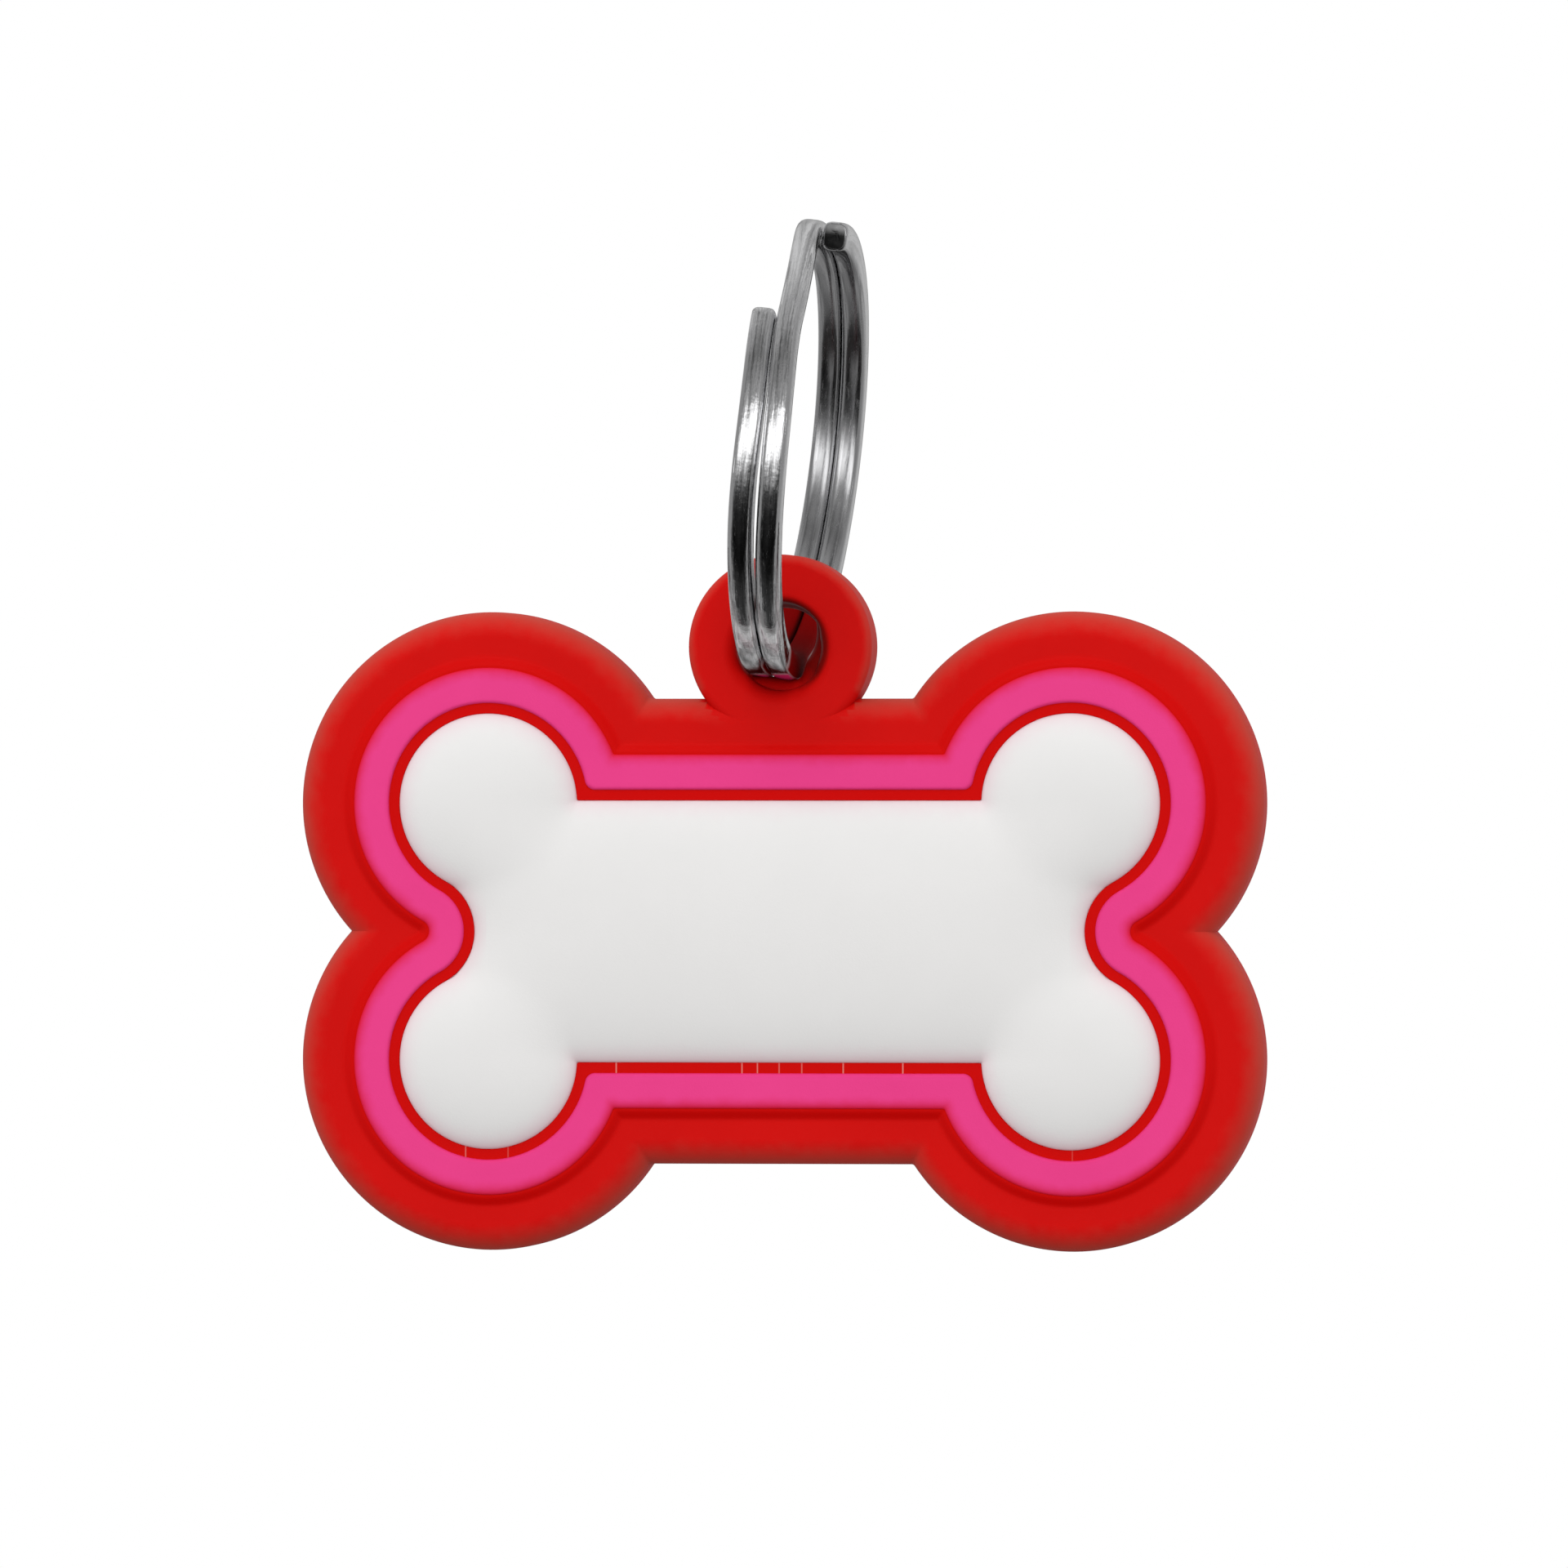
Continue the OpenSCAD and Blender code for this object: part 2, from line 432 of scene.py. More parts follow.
class Sockets:
    """Adds nodes to a tree and wires them, with the last result as a socket."""

    def __init__(self, tree: bpy.types.NodeTree) -> None:
        """Keeps the tree that nodes are added to."""
        self.tree = tree

    def put(self, kind: str, **settings: object) -> ShaderNode:
        """Adds a node.

        Args:
            kind: What the name of its type has after ShaderNode.
            settings: Its properties by their names.

        Returns:
            The new node.
        """
        node = self.tree.nodes.new("ShaderNode" + kind)
        for name, value in settings.items():
            setattr(node, name, value)
        return node

    def feed(self, node: ShaderNode, **inputs: object) -> Outputs:
        """Sets or links a node's inputs.

        Args:
            node: The node.
            inputs: Each input by its name, with _ for a space, or as in0, in1 and so on by its place.

        Returns:
            The node's outputs.
        """
        for name, value in inputs.items():
            numbered = name[:2] == "in" and name[2:].isdigit()
            socket = node.inputs[int(name[2:]) if numbered else name.replace("_", " ")]
            if isinstance(value, Socket):
                self.tree.links.new(value, socket)
            else:
                socket.default_value = value
        return node.outputs

    def math(self, operation: str, *inputs: object, clamp: bool = False) -> Socket:
        """A Math node's result for one, two or three inputs."""
        node = self.put("Math", operation=operation, use_clamp=clamp)
        return self.feed(node, **{f"in{order}": value for order, value in enumerate(inputs)})[0]

    def times(self, *values: object) -> Socket:
        """The product of two or more values."""
        return reduce(partial(self.math, "MULTIPLY"), values)

    def plus(self, *values: object) -> Socket:
        """The sum of two or more values."""
        return reduce(partial(self.math, "ADD"), values)

    def rest(self, value: object, clamp: bool = False) -> Socket:
        """What a value leaves of 1, and never less than 0 if it is clamped."""
        return self.math("SUBTRACT", 1.0, value, clamp=clamp)

    def length(self, first: Socket, second: Socket) -> Socket:
        """The square root of the sum of two squares."""
        return self.math("SQRT", self.plus(self.times(first, first), self.times(second, second)))

    def remap(
        self, value: Socket, low: float, high: float, to_low: float = 0.0, to_high: float = 1.0,
        smooth: bool = False,
    ) -> Socket:
        """Maps a value from one range to another, and holds it at both ends.

        Args:
            value: The value.
            low: Where the first range starts.
            high: Where it ends.
            to_low: The result at low.
            to_high: The result at high.
            smooth: True if the result eases in and out.

        Returns:
            The result.
        """
        node = self.put("MapRange", interpolation_type="SMOOTHSTEP" if smooth else "LINEAR")
        return self.feed(
            node, Value=value, From_Min=low, From_Max=high, To_Min=to_low, To_Max=to_high
        )["Result"]

    def blend(self, share: object, first: object, second: object, kind: str = "MIX") -> Socket:
        """Blends two colours by a share from 0 to 1. The colours' sockets have the places 6 and 7."""
        node = self.put("Mix", data_type="RGBA", blend_type=kind)
        return self.feed(node, in0=share, in6=first, in7=second)[2]

    def noise(self, place: Socket, size_mm: float, detail: float = 2.0, rough: float = 0.5) -> Socket:
        """Noise whose lumps are about size_mm across, on a position in metres."""
        node = self.put("TexNoise")
        return self.feed(
            node, Vector=place, Scale=1 / (size_mm * MM), Detail=detail, Roughness=rough
        )["Fac"]

    def streaks(
        self, place: Socket, scale: Triple, detail: float, rough: float, level: float = 0.0
    ) -> Socket:
        """Noise that is drawn out along the axes whose scale is small.

        Args:
            place: The position, in any unit.
            scale: Number of lumps to a unit, for each axis.
            detail: The noise's detail.
            rough: The noise's roughness.
            level: Where along its third axis the noise is cut.

        Returns:
            The noise.
        """
        spot = self.feed(self.put("Mapping"), Vector=place, Location=(0.0, 0.0, level), Scale=scale)[0]
        whole_unit = 1 / MM
        return self.noise(spot, whole_unit, detail, rough)

    def cells(self, scale: object, **place: Socket) -> tuple[Socket, Socket, Socket]:
        """Voronoi cells on a Vector, or on a W alone.

        Args:
            scale: Number of cells to a metre.
            place: The position, as Vector or as W.

        Returns:
            The distance from a cell's point, in cells, and two random numbers for each cell.
        """
        node = self.put("TexVoronoi", voronoi_dimensions="1D" if "W" in place else "3D")
        found = self.feed(node, Scale=scale, **place)
        chance = self.feed(self.put("SeparateColor"), Color=found["Color"])
        return found["Distance"], chance["Red"], chance["Green"]

    def steps(self, value: Socket, stops: tuple[Pair, ...]) -> Socket:
        """A grey ramp.

        Args:
            value: Where on the ramp, from 0 to 1.
            stops: Positions and linear levels, in order.

        Returns:
            The level there, which eases from stop to stop.
        """
        node = self.put("ValToRGB")
        ramp = node.color_ramp
        ramp.interpolation = "EASE"
        for element, (position, level) in zip(ramp.elements, (stops[0], stops[-1])):
            element.position, element.color = position, grey(level)
        for position, level in stops[1:-1]:
            ramp.elements.new(position).color = grey(level)
        return self.feed(node, Fac=value)["Color"]

    def value(self, name: str) -> Socket:
        """A value that the mesh's points carry under a name."""
        return self.put("Attribute", attribute_name=name).outputs["Fac"]

    def place(self) -> Socket:
        """The position on the object, in metres."""
        return self.put("TexCoord").outputs["Object"]

    def parts(self, vector: Socket) -> Outputs:
        """A vector's X, Y and Z."""
        return self.feed(self.put("SeparateXYZ"), Vector=vector)

    def use(self, effect: Effect, **inputs: object) -> Outputs:
        """A node group's outputs for its inputs."""
        return self.feed(self.put("Group", node_tree=bpy.data.node_groups[effect.value]), **inputs)

    def seen(self) -> Socket:
        """Tells the rays that see the set from those that light the object.

        Returns:
            1 for rays from the camera, for reflections and for rays let through, else 0.
        """
        path = self.put("LightPath").outputs
        direct = self.math("MAXIMUM", path["Is Camera Ray"], path["Is Glossy Ray"])
        return self.math("MAXIMUM", direct, path["Is Transmission Ray"])


def start_group(
    effect: Effect, inputs: dict[str, object], outputs: dict[str, object]
) -> tuple[Sockets, Outputs, ShaderNode]:
    """Starts a shader node group, whose sockets are colours where their default is one.

    Args:
        effect: Which group it is.
        inputs: Each input's default, by its name.
        outputs: Each output's default, by its name.

    Returns:
        The group's sockets helper, what the group is given, and its output node.
    """
    tree = bpy.data.node_groups.new(effect.value, "ShaderNodeTree")
    for side, defaults in (("INPUT", inputs), ("OUTPUT", outputs)):
        for label, default in defaults.items():
            kind = "NodeSocketColor" if isinstance(default, tuple) else "NodeSocketFloat"
            tree.interface.new_socket(label, in_out=side, socket_type=kind).default_value = default
    given = tree.nodes.new("NodeGroupInput").outputs
    return Sockets(tree), given, tree.nodes.new("NodeGroupOutput")


def grain_group() -> None:
    """Fine grain of a moulded rubber face: a height for bump and a slight change of shade.

    The height is fine noise plus a broad, weak wave, and the shade follows the broadest noise.
    """
    made, given, result = start_group(
        Effect.GRAIN, {"Grain": 1.0, "Cloud": 1.0}, {"Height": 0.0, "Shade": 0.0}
    )
    fine_mm, wave_mm, shade_mm = 0.09, 1.6, 4.5
    place = made.place()
    fine = made.times(made.noise(place, fine_mm, 3.0, 0.6), given["Grain"])
    broad = made.times(made.noise(place, wave_mm), given["Cloud"])
    shade = made.remap(made.noise(place, shade_mm, 3.0, 0.6), 0.3, 0.7, -1.0, 1.0)
    made.feed(result, Height=made.plus(fine, broad), Shade=shade)


def specks_group() -> None:
    """Scattered dust and tiny flaws: a mask that is 1 on a speck.

    Each cell of a Voronoi pattern holds one speck, and only the cells whose random number lies
    below Share show theirs.
    """
    made, given, result = start_group(
        Effect.SPECKS, {"Spacing": 500.0, "Radius": 0.08, "Share": 0.3}, {"Mask": 0.0}
    )
    apart, chance, size = made.cells(given["Spacing"], Vector=made.place())
    chosen = made.math("LESS_THAN", chance, given["Share"])
    away = made.math("DIVIDE", apart, made.times(given["Radius"], size))
    made.feed(result, Mask=made.times(made.rest(away, clamp=True), chosen))


def rim_group() -> None:
    """Blends a tint in from a piece's rim, for colour bled in from a neighbour and for painted light
    along an edge.

    The share is (1 - distance / width) ^ 2 times Amount, with the width moved by a little noise.
    """
    made, given, result = start_group(
        Effect.RIM,
        {"Color": grey(0.8), "Rim Color": grey(0.5), "Distance": 1.0, "Width": 0.5, "Amount": 1.0},
        {"Color": grey(0.8)},
    )
    waver_mm, waver_share = 0.7, 0.15
    noise = made.noise(made.place(), waver_mm)
    waver = made.remap(noise, 0.3, 0.7, 1 - waver_share, 1 + waver_share)
    away = made.math("DIVIDE", given["Distance"], made.times(given["Width"], waver))
    near = made.math("POWER", made.rest(away, clamp=True), 2.0)
    share = made.times(near, given["Amount"])
    made.feed(result, Color=made.blend(share, given["Color"], given["Rim Color"]))


def new_material(name: str, kind: str = "BsdfPrincipled") -> tuple[Material, Sockets, ShaderNode]:
    """Starts a material with an empty tree but for its last shader and its output.

    Args:
        name: The material's name.
        kind: The last shader's kind.

    Returns:
        The material, its sockets helper and the shader.
    """
    material = bpy.data.materials.new(name)
    material.use_nodes = True
    material.node_tree.nodes.clear()
    made = Sockets(material.node_tree)
    shader = made.put(kind)
    made.feed(made.put("OutputMaterial"), Surface=shader.outputs[0])
    return material, made, shader


@dataclass(frozen=True)
class RubberFinish:
    """A soft moulded rubber: its colour, its marks, and the tints and painted light along its rims.

    The rim's tint is colour bled in from a neighbour on the pink, a pink tint on the white and a
    painted sheen on the red, the bounce a tint of bounced light along the inner rim, the seam's
    colour a painted shade that deepens the red on the slope and the line, and light ticks lie on
    the lower line, where Z is a level or under a foot. What a mirror shows of the rubber is a
    painted reflection, which goes by how near it is: near, dim to mid by a marbling, then far. A
    painted shade darkens the tab hole's wall.
    """

    name: str
    colour: Colour
    shade: Colour
    # The rim's tint: the red bled into the pink's edge, a pink tint at the white's edge, and a painted
    # sheen along the red's edges
    rim_colour: Colour
    rim_width: float
    rim_amount: float
    roughness: float = 0.46
    roughness_play: float = 0.05
    specular: float = 0.05
    grain: float = 0.012
    speck_colour: Colour = (0.8, 0.75, 0.72, 1.0)
    cloud: float = 0.6
    bump: float = 0.5
    speck_per_metre: float = 620.0
    speck_radius: float = 0.09
    speck_strength: float = 0.6
    speck_share: float = 0.05
    bounce_width: float = 0.0
    bounce_colour: Colour = (0.8, 0.5, 0.6, 1.0)
    bounce_amount: float = 0.0
    # A painted shade: a deeper, more saturated red on the slope and the line
    seam_shade_colour: Colour = (0.8, 0.1, 0.1, 1.0)
    seam_shade_amount: float = 0.0
    tick_colour: Colour = (0.8, 0.4, 0.36, 1.0)
    tick_per_metre: float = 1100.0
    tick_share: float = 0.35
    tick_width: Pair = (0.045, 0.015)
    tick_strength: Pair = (0.15, 0.65)
    tick_from: float = 3.9
    tick_level: Pair = (-0.03544, 0.0004)
    tick_foot: float = -0.0388
    tick_foot_strength: float = 0.5
    # Painted reflections: the colours that mirrors show of the rubber, by distance
    near_mirrored: Colour = (0.08, 0.004, 0.003, 1.0)
    dim_mirrored: Colour = (0.12, 0.12, 0.12, 1.0)
    mid_mirrored: Colour = (0.5, 0.5, 0.5, 1.0)
    far_mirrored: Colour = (0.025, 0.023, 0.023, 1.0)
    mirrored_at: Pair = (0.0006, 0.010)
    mirrored_amount: float = 1.0
    marble_size: float = 1.1
    marble_range: Pair = (0.35, 0.65)
    # A painted shade that darkens the red on the tab hole's wall
    hole_shade_colour: Colour = (0.14, 0.003, 0.002, 1.0)
    hole_shade_amount: float = 0.0

    def material(self) -> Material:
        """Builds the material.

        It reads the attributes rim and inner, in millimetres, and the masks of the seam, the hole's
        wall and the painted shade on that wall, from 0 to 1.

        Returns:
            The new material.
        """
        material, made, shader = new_material(self.name)
        grain = made.use(Effect.GRAIN, Grain=1.0, Cloud=self.cloud)
        colour = made.blend(made.remap(grain["Shade"], -1.0, 1.0), self.shade, self.colour)
        for edge, tint, width, amount in (
            ("rim", self.rim_colour, self.rim_width, self.rim_amount),
            ("inner", self.bounce_colour, self.bounce_width, self.bounce_amount),
        ):
            if amount:
                colour = made.use(
                    Effect.RIM, Color=colour, Rim_Color=tint, Distance=made.value(edge), Width=width,
                    Amount=amount,
                )["Color"]
        dust = made.use(
            Effect.SPECKS, Spacing=self.speck_per_metre, Radius=self.speck_radius,
            Share=self.speck_share,
        )["Mask"]
        colour = made.blend(made.times(dust, self.speck_strength), colour, self.speck_colour)
        if self.seam_shade_amount:
            # The seam's painted shade deepens the red on the slope and the line
            seam = made.value("seam")
            colour = made.blend(made.times(seam, self.seam_shade_amount), colour, self.seam_shade_colour)
            # Light ticks across the lower line
            colour = made.blend(made.times(self.light_ticks(made), seam), colour, self.tick_colour)
        if self.hole_shade_amount:
            # Painted shade on the tab hole's wall
            rubbed = made.times(made.value("rubbed"), self.hole_shade_amount)
            colour = made.blend(rubbed, colour, self.hole_shade_colour)
        # Painted reflection: glossy rays see the mirrored colours in place of the rubber's own
        glossy = made.put("LightPath").outputs["Is Glossy Ray"]
        colour = made.blend(made.times(glossy, self.mirrored_amount), colour, self.mirrored(made))
        low, high = self.roughness - self.roughness_play, self.roughness + self.roughness_play
        bump = made.feed(
            made.put("Bump"), Strength=self.bump, Distance=self.grain * MM, Height=grain["Height"]
        )
        made.feed(
            shader, Base_Color=colour, Roughness=made.remap(grain["Shade"], -1.0, 1.0, low, high),
            Normal=bump[0], Specular_IOR_Level=self.specular,
        )
        return material

    def light_ticks(self, made: Sockets) -> Socket:
        """Fine ticks across the lower line: a mask with a strength of its own for each.

        Each cell of a pattern along X has a tick at its point, and only the cells whose random
        number lies below tick_share show theirs.

        Args:
            made: The material's sockets helper.

        Returns:
            The mask.
        """
        spot = made.parts(made.place())
        apart, chance, strength = made.cells(self.tick_per_metre, W=spot["X"])
        wide, thin = self.tick_width
        level = made.math("COMPARE", spot["Z"], *self.tick_level)
        under = made.math("LESS_THAN", spot["Z"], self.tick_foot)
        foot = made.times(under, self.tick_foot_strength)
        return made.times(
            made.remap(apart, thin, wide, 1.0, 0.0),
            made.remap(strength, 0.0, 1.0, *self.tick_strength),
            made.math("LESS_THAN", chance, self.tick_share),
            made.math("GREATER_THAN", made.value("rim"), self.tick_from),
            made.math("MAXIMUM", level, foot),
        )

    def mirrored(self, made: Sockets) -> Socket:
        """The painted reflection: the colour a mirror shows of the rubber. On the hole's wall it is
        near_mirrored at any distance.

        Args:
            made: The material's sockets helper.

        Returns:
            The colour.
        """
        distance = made.put("LightPath").outputs["Ray Length"]
        close, wide = self.mirrored_at
        marble = made.remap(made.noise(made.place(), self.marble_size, 3.0), *self.marble_range)
        shown = made.blend(marble, self.dim_mirrored, self.mid_mirrored)
        past = made.times(made.remap(distance, close, close * 2), made.rest(made.value("wall")))
        shown = made.blend(past, self.near_mirrored, shown)
        return made.blend(made.remap(distance, wide, wide * 1.3), shown, self.far_mirrored)


@dataclass(frozen=True)
class SteelFinish:
    """Bright polished wire, drawn lengthwise and lightly scratched by use.

    Places are in metres: hole is the tab hole's axis, hole_reach how far from it the wire carries a
    painted reflection of the red hole, hole_front and hole_back where that starts and is full in Y,
    and foot in Z, below which the outer side carries a painted reflection of the pink band. The
    inner and the outer side are ranges of the attribute outward, and each rough value is what its
    cause adds to the roughness.
    """

    name: str = "Polished steel wire"
    colour: Colour = (0.86, 0.86, 0.87, 1.0)
    dull: Colour = (0.62, 0.62, 0.63, 1.0)
    inner_side: Pair = (-0.9, -0.5)
    outer_side: Pair = (0.75, 0.9)
    turned_side: Pair = (-0.9, 0.2)
    roughness: float = 0.07
    rough_smear: float = 0.07
    rough_scratch: float = 0.2
    rough_cut: float = 0.4
    rough_far: float = 0.09
    rough_hidden: float = 0.7
    smear_size: float = 1.3
    smear_range: Pair = (0.35, 0.75)
    drawn: Triple = (0.35, 9.0, 1.0)
    hairs: Triple = (1.2, 42.0, 1.0)
    hair_range: Pair = (0.57, 0.7)
    hair_strength: float = 0.5
    hair_depth: float = 0.25
    speck_per_metre: float = 900.0
    speck_radius: float = 0.1
    speck_share: float = 0.1
    dent_size: float = 0.9
    dent_height: float = 2.2
    hole: Triple = (0.0, 0.0, 0.0)
    hole_reach: Pair = (0.0023, 0.0034)
    hole_front: Pair = (-0.0034, -0.0024)
    hole_back: Pair = (0.0016, 0.0024)
    # Painted reflection of the red hole, and a darker painted shade on the flanks behind it
    hole_colour: Colour = (0.17, 0.001, 0.001, 1.0)
    flank_colour: Colour = (0.07, 0.002, 0.002, 1.0)
    flank_share: float = 0.4
    # Below this the wire's outer side carries a painted reflection of the pink band
    foot: Pair = (-0.01838, -0.0185)
    foot_reflection_colour: Colour = (0.62, 0.03, 0.17, 1.0)
    soft_back: Pair = (0.002, 0.006)
    # Painted dark reflection on the cut ends, with a painted glint on their outer part
    cut_dark: Colour = (0.035, 0.035, 0.035, 1.0)
    cut_light: Colour = (0.42, 0.42, 0.42, 1.0)
    cut_glint_range: Pair = (0.1, 0.6)
    crown: float = 3.0
    relief: float = 0.018
    bump: float = 0.6
    inner_relief: float = 0.25

    def material(self) -> Material:
        """Builds the material.

        It reads the UV map wire: u in millimetres along it, v round it. The attribute outward is
        1 on the ring's outer side and -1 on its inner side, which is darker, facing marks the
        flanks that face the other turn, and cut the sheared ends.

        Returns:
            The new material.
        """
        material, made, shader = new_material(self.name)
        uv = made.put("UVMap", uv_map="wire").outputs["UV"]
        place = made.place()
        spot = made.parts(place)
        outward, cut = made.value("outward"), made.value("cut")
        direct = made.rest(made.put("LightPath").outputs["Is Glossy Ray"])
        inner = made.remap(outward, *self.inner_side, 1.0, 0.0)
        outer = made.remap(outward, *self.outer_side)
        scratch = made.remap(made.streaks(uv, self.hairs, 3.0, 0.7), *self.hair_range)
        dust = made.use(
            Effect.SPECKS, Spacing=self.speck_per_metre, Radius=self.speck_radius,
            Share=self.speck_share,
        )["Mask"]
        colour = made.blend(made.times(scratch, self.hair_strength), self.colour, self.dull)
        colour = made.blend(dust, colour, self.dull)
        # The ring's inner side is darker
        colour = made.blend(inner, colour, self.dull)
        # Painted reflection of the red hole on the wire, with painted shade on the flanks
        share, deep = self.in_hole(made, spot, outward)
        hidden = made.times(share, direct)
        colour = made.blend(hidden, colour, deep)
        # The cut ends: a painted dark reflection and a painted glint towards the outside
        cut_glint = made.blend(made.remap(outward, *self.cut_glint_range), self.cut_dark, self.cut_light)
        colour = made.blend(cut, colour, cut_glint)
        # Painted reflection of the pink band on the wire's foot
        low = made.times(made.remap(spot["Z"], *self.foot), direct, outer)
        colour = made.blend(low, colour, self.foot_reflection_colour)
        smear = made.remap(made.noise(place, self.smear_size, 3.0, 0.6), *self.smear_range)
        turned = made.remap(outward, *self.turned_side, 1.0, 0.0)
        far = made.times(made.remap(spot["Y"], *self.soft_back), turned)
        rough = made.plus(
            made.times(smear, self.rough_smear), self.roughness,
            made.times(scratch, self.rough_scratch), made.times(cut, self.rough_cut),
            made.times(far, self.rough_far),
        )
        rough = made.math("ADD", rough, made.times(hidden, self.rough_hidden), clamp=True)
        height = self.height(made, uv, scratch, outward)
        bump = made.feed(
            made.put("Bump"), Strength=self.bump, Distance=self.relief * MM, Height=height
        )
        made.feed(
            shader, Base_Color=colour, Roughness=rough, Normal=bump[0], Specular_IOR_Level=0.02,
            Metallic=made.rest(made.math("MAXIMUM", hidden, low)),
        )
        return material

    def in_hole(self, made: Sockets, spot: Outputs, outward: Socket) -> tuple[Socket, Socket]:
        """The painted reflection of deep red on the wire inside the tab's hole, on all but its outward
        side.

        Args:
            made: The material's sockets helper.
            spot: The position's X, Y and Z.
            outward: The attribute outward.

        Returns:
            Its share from 0 to 1, and its colour, with a painted shade darker on the flanks behind the
            hole.
        """
        aside = made.math("SUBTRACT", spot["X"], self.hole[0])
        above = made.math("SUBTRACT", spot["Z"], self.hole[2])
        near = made.remap(made.length(aside, above), *self.hole_reach, 1.0, 0.0, smooth=True)
        behind = made.remap(spot["Y"], *self.hole_front, smooth=True)
        past = made.remap(spot["Y"], *self.hole_back)
        flank = made.times(made.remap(made.value("facing"), 0.75, 0.95), past)
        shaded = made.math("MAXIMUM", flank, made.remap(outward, -0.5, -0.2, 1.0, self.flank_share))
        side = made.remap(outward, *self.outer_side, 1.0, 0.0)
        inside = made.times(side, made.blend(past, grey(1.0), shaded))
        return made.times(near, behind, inside), made.blend(flank, self.hole_colour, self.flank_colour)

    def height(self, made: Sockets, uv: Socket, scratch: Socket, outward: Socket) -> Socket:
        """The bump's height: drawn lines, scratches, dents, and a hollow over each corner.

        The hollow is crown sin^2(4 pi v). All of it is weaker on the ring's inner side.

        Args:
            made: The material's sockets helper.
            uv: The UV map wire.
            scratch: The scratches' mask.
            outward: The attribute outward.

        Returns:
            The height.
        """
        corner = made.math("SINE", made.times(made.parts(uv)["Y"], 4 * math.pi))
        dents = made.noise(made.place(), self.dent_size, 3.0, 0.55)
        relief = made.plus(
            made.streaks(uv, self.drawn, 4.0, 0.65), made.times(scratch, -self.hair_depth),
            made.times(dents, self.dent_height),
        )
        relief = made.math("SUBTRACT", relief, made.times(corner, corner, self.crown))
        return made.times(relief, made.remap(outward, *self.turned_side, self.inner_relief, 1.0))


# The tag


@dataclass
class RubberTag:
    """The moulded tag: a red body with a tab, a pink band and a white panel inlaid in it.

    Sizes are in millimetres, and directions about the tab's hole in degrees, up from its right.
    """

    outline: BoneOutline = field(default_factory=BoneOutline)
    body_t: float = 3.0
    sharp: float = 32.0
    front_round: float = 1.1
    back_round: float = 0.4
    tab_r: float = 4.0
    tab_rise: float = 12.35
    tab_round: float = 0.45
    tab_sunk: float = 0.008
    tab_steps: int = 128
    hole_r: float = 2.0
    rim_round: float = 0.35
    worn_round: float = 0.75
    worn_at: float = -100.0
    band_w: float = 1.53
    slope_w: float = 0.5
    slope_rise: float = 0.22
    slope_sunk: float = 0.01
    slope_ease: float = 0.45
    band_proud: float = 0.1
    band_shoulder: float = 0.38
    band_inner_round: float = 0.16
    band_flat: Pair = (0.55, 0.4)
    inlay_depth: float = 0.6
    line_w: float = 0.43
    line_rise: float = 0.2
    line_corner: float = 0.4
    panel_edge: float = 0.05
    panel_steps: int = 56
    panel_crowding: float = 2.1
    edge_corner: float = 0.18
    band_corner: float = 0.12
    band_inner_corner: float = 0.45
    panel_corner: float = 0.1
    crown_h: float = 1.15
    dome_h: float = 1.05
    dome_power: float = 0.53
    notch_run: float = 5.0
    blend_power: float = 4.0
    bite: float = 0.025
    hole_swell: float = 0.12
    back_pinch: float = 0.25
    pinch_from: float = 0.3
    pinch_run: float = 0.9
    back_lip: float = 0.12
    side_swell: float = 0.2
    swell_at: float = -5.0
    swell_half: float = 16.0
    swell_fade: float = 26.0
    seam_before: float = 0.12
    seam_run: float = 0.3
    wall_haze: float = 0.35
    wall_fade: float = 0.4
    tab_haze: float = 2.6
    tab_side_fade: float = 0.2
    tab_slack: float = 0.01
    join_below: float = 1.3
    join_above: float = 0.4
    join_fade: float = 0.6
    hole_wall: Pair = (0.02, 0.22)
    # Where round the tab's hole its painted shade is full, and how far and how fast it fades
    hole_shade_at: float = 25.0
    hole_shade_half: float = 60.0
    hole_shade_fade: float = 35.0
    marks: tuple[str, ...] = ("rim", "seam", "wall", "rubbed")
    lip_root: float = 1.98
    lip_at: float = -0.4
    lip_half: float = 0.8
    lip_full: float = 0.35
    lip_steps: int = 88
    lip_section_steps: int = 36
    lip_reach: tuple[Pair, ...] = (
        (212, 1.94), (222, 1.8), (230, 1.62), (238, 1.48), (246, 1.38), (256, 1.33), (270, 1.34),
        (284, 1.44), (294, 1.54), (302, 1.48), (310, 1.32), (318, 1.2), (328, 1.16), (340, 1.2),
        (352, 1.27), (364, 1.36), (376, 1.48), (388, 1.64), (400, 1.82), (410, 1.94),
    )

    def __post_init__(self) -> None:
        """Works out the heights, and where the CAD hangs the tag."""
        self.face_z = self.body_t / 2
        self.slope_z = self.face_z + self.slope_rise
        self.band_z = self.slope_z + self.band_proud
        self.seat_z = self.face_z - self.inlay_depth
        self.line_z = self.face_z + self.line_rise
        self.panel_z = self.face_z + self.panel_edge
        self.tab_top = self.face_z - self.tab_sunk
        self.band_in = self.outline.border_w + self.band_w
        self.panel_in = self.band_in + self.line_w
        low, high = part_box(Node.PINK_BAND.value)
        self.middle = ((low[0] + high[0]) / 2, (low[2] + high[2]) / 2)

    def hang(self, plan: np.ndarray) -> np.ndarray:
        """Carries the tag's plan to the frame: (x, y, z) to (x, -z, y) from the bone's middle.

        Args:
            plan: Points of the plan, in millimetres.

        Returns:
            The points in the frame, in metres.
        """
        x = self.middle[0] + plan[..., 0] * MM
        z = self.middle[1] + plan[..., 1] * MM
        return np.stack([x, -plan[..., 2] * MM, z], axis=-1)

    def about_hole(self, radius: np.ndarray, turn: np.ndarray, height: np.ndarray) -> np.ndarray:
        """Frame points whose plan is (r cos t, tab_rise + r sin t), at a height."""
        plan = (radius * np.cos(turn), self.tab_rise + radius * np.sin(turn), height)
        return self.hang(np.stack(np.broadcast_arrays(*plan), axis=-1))

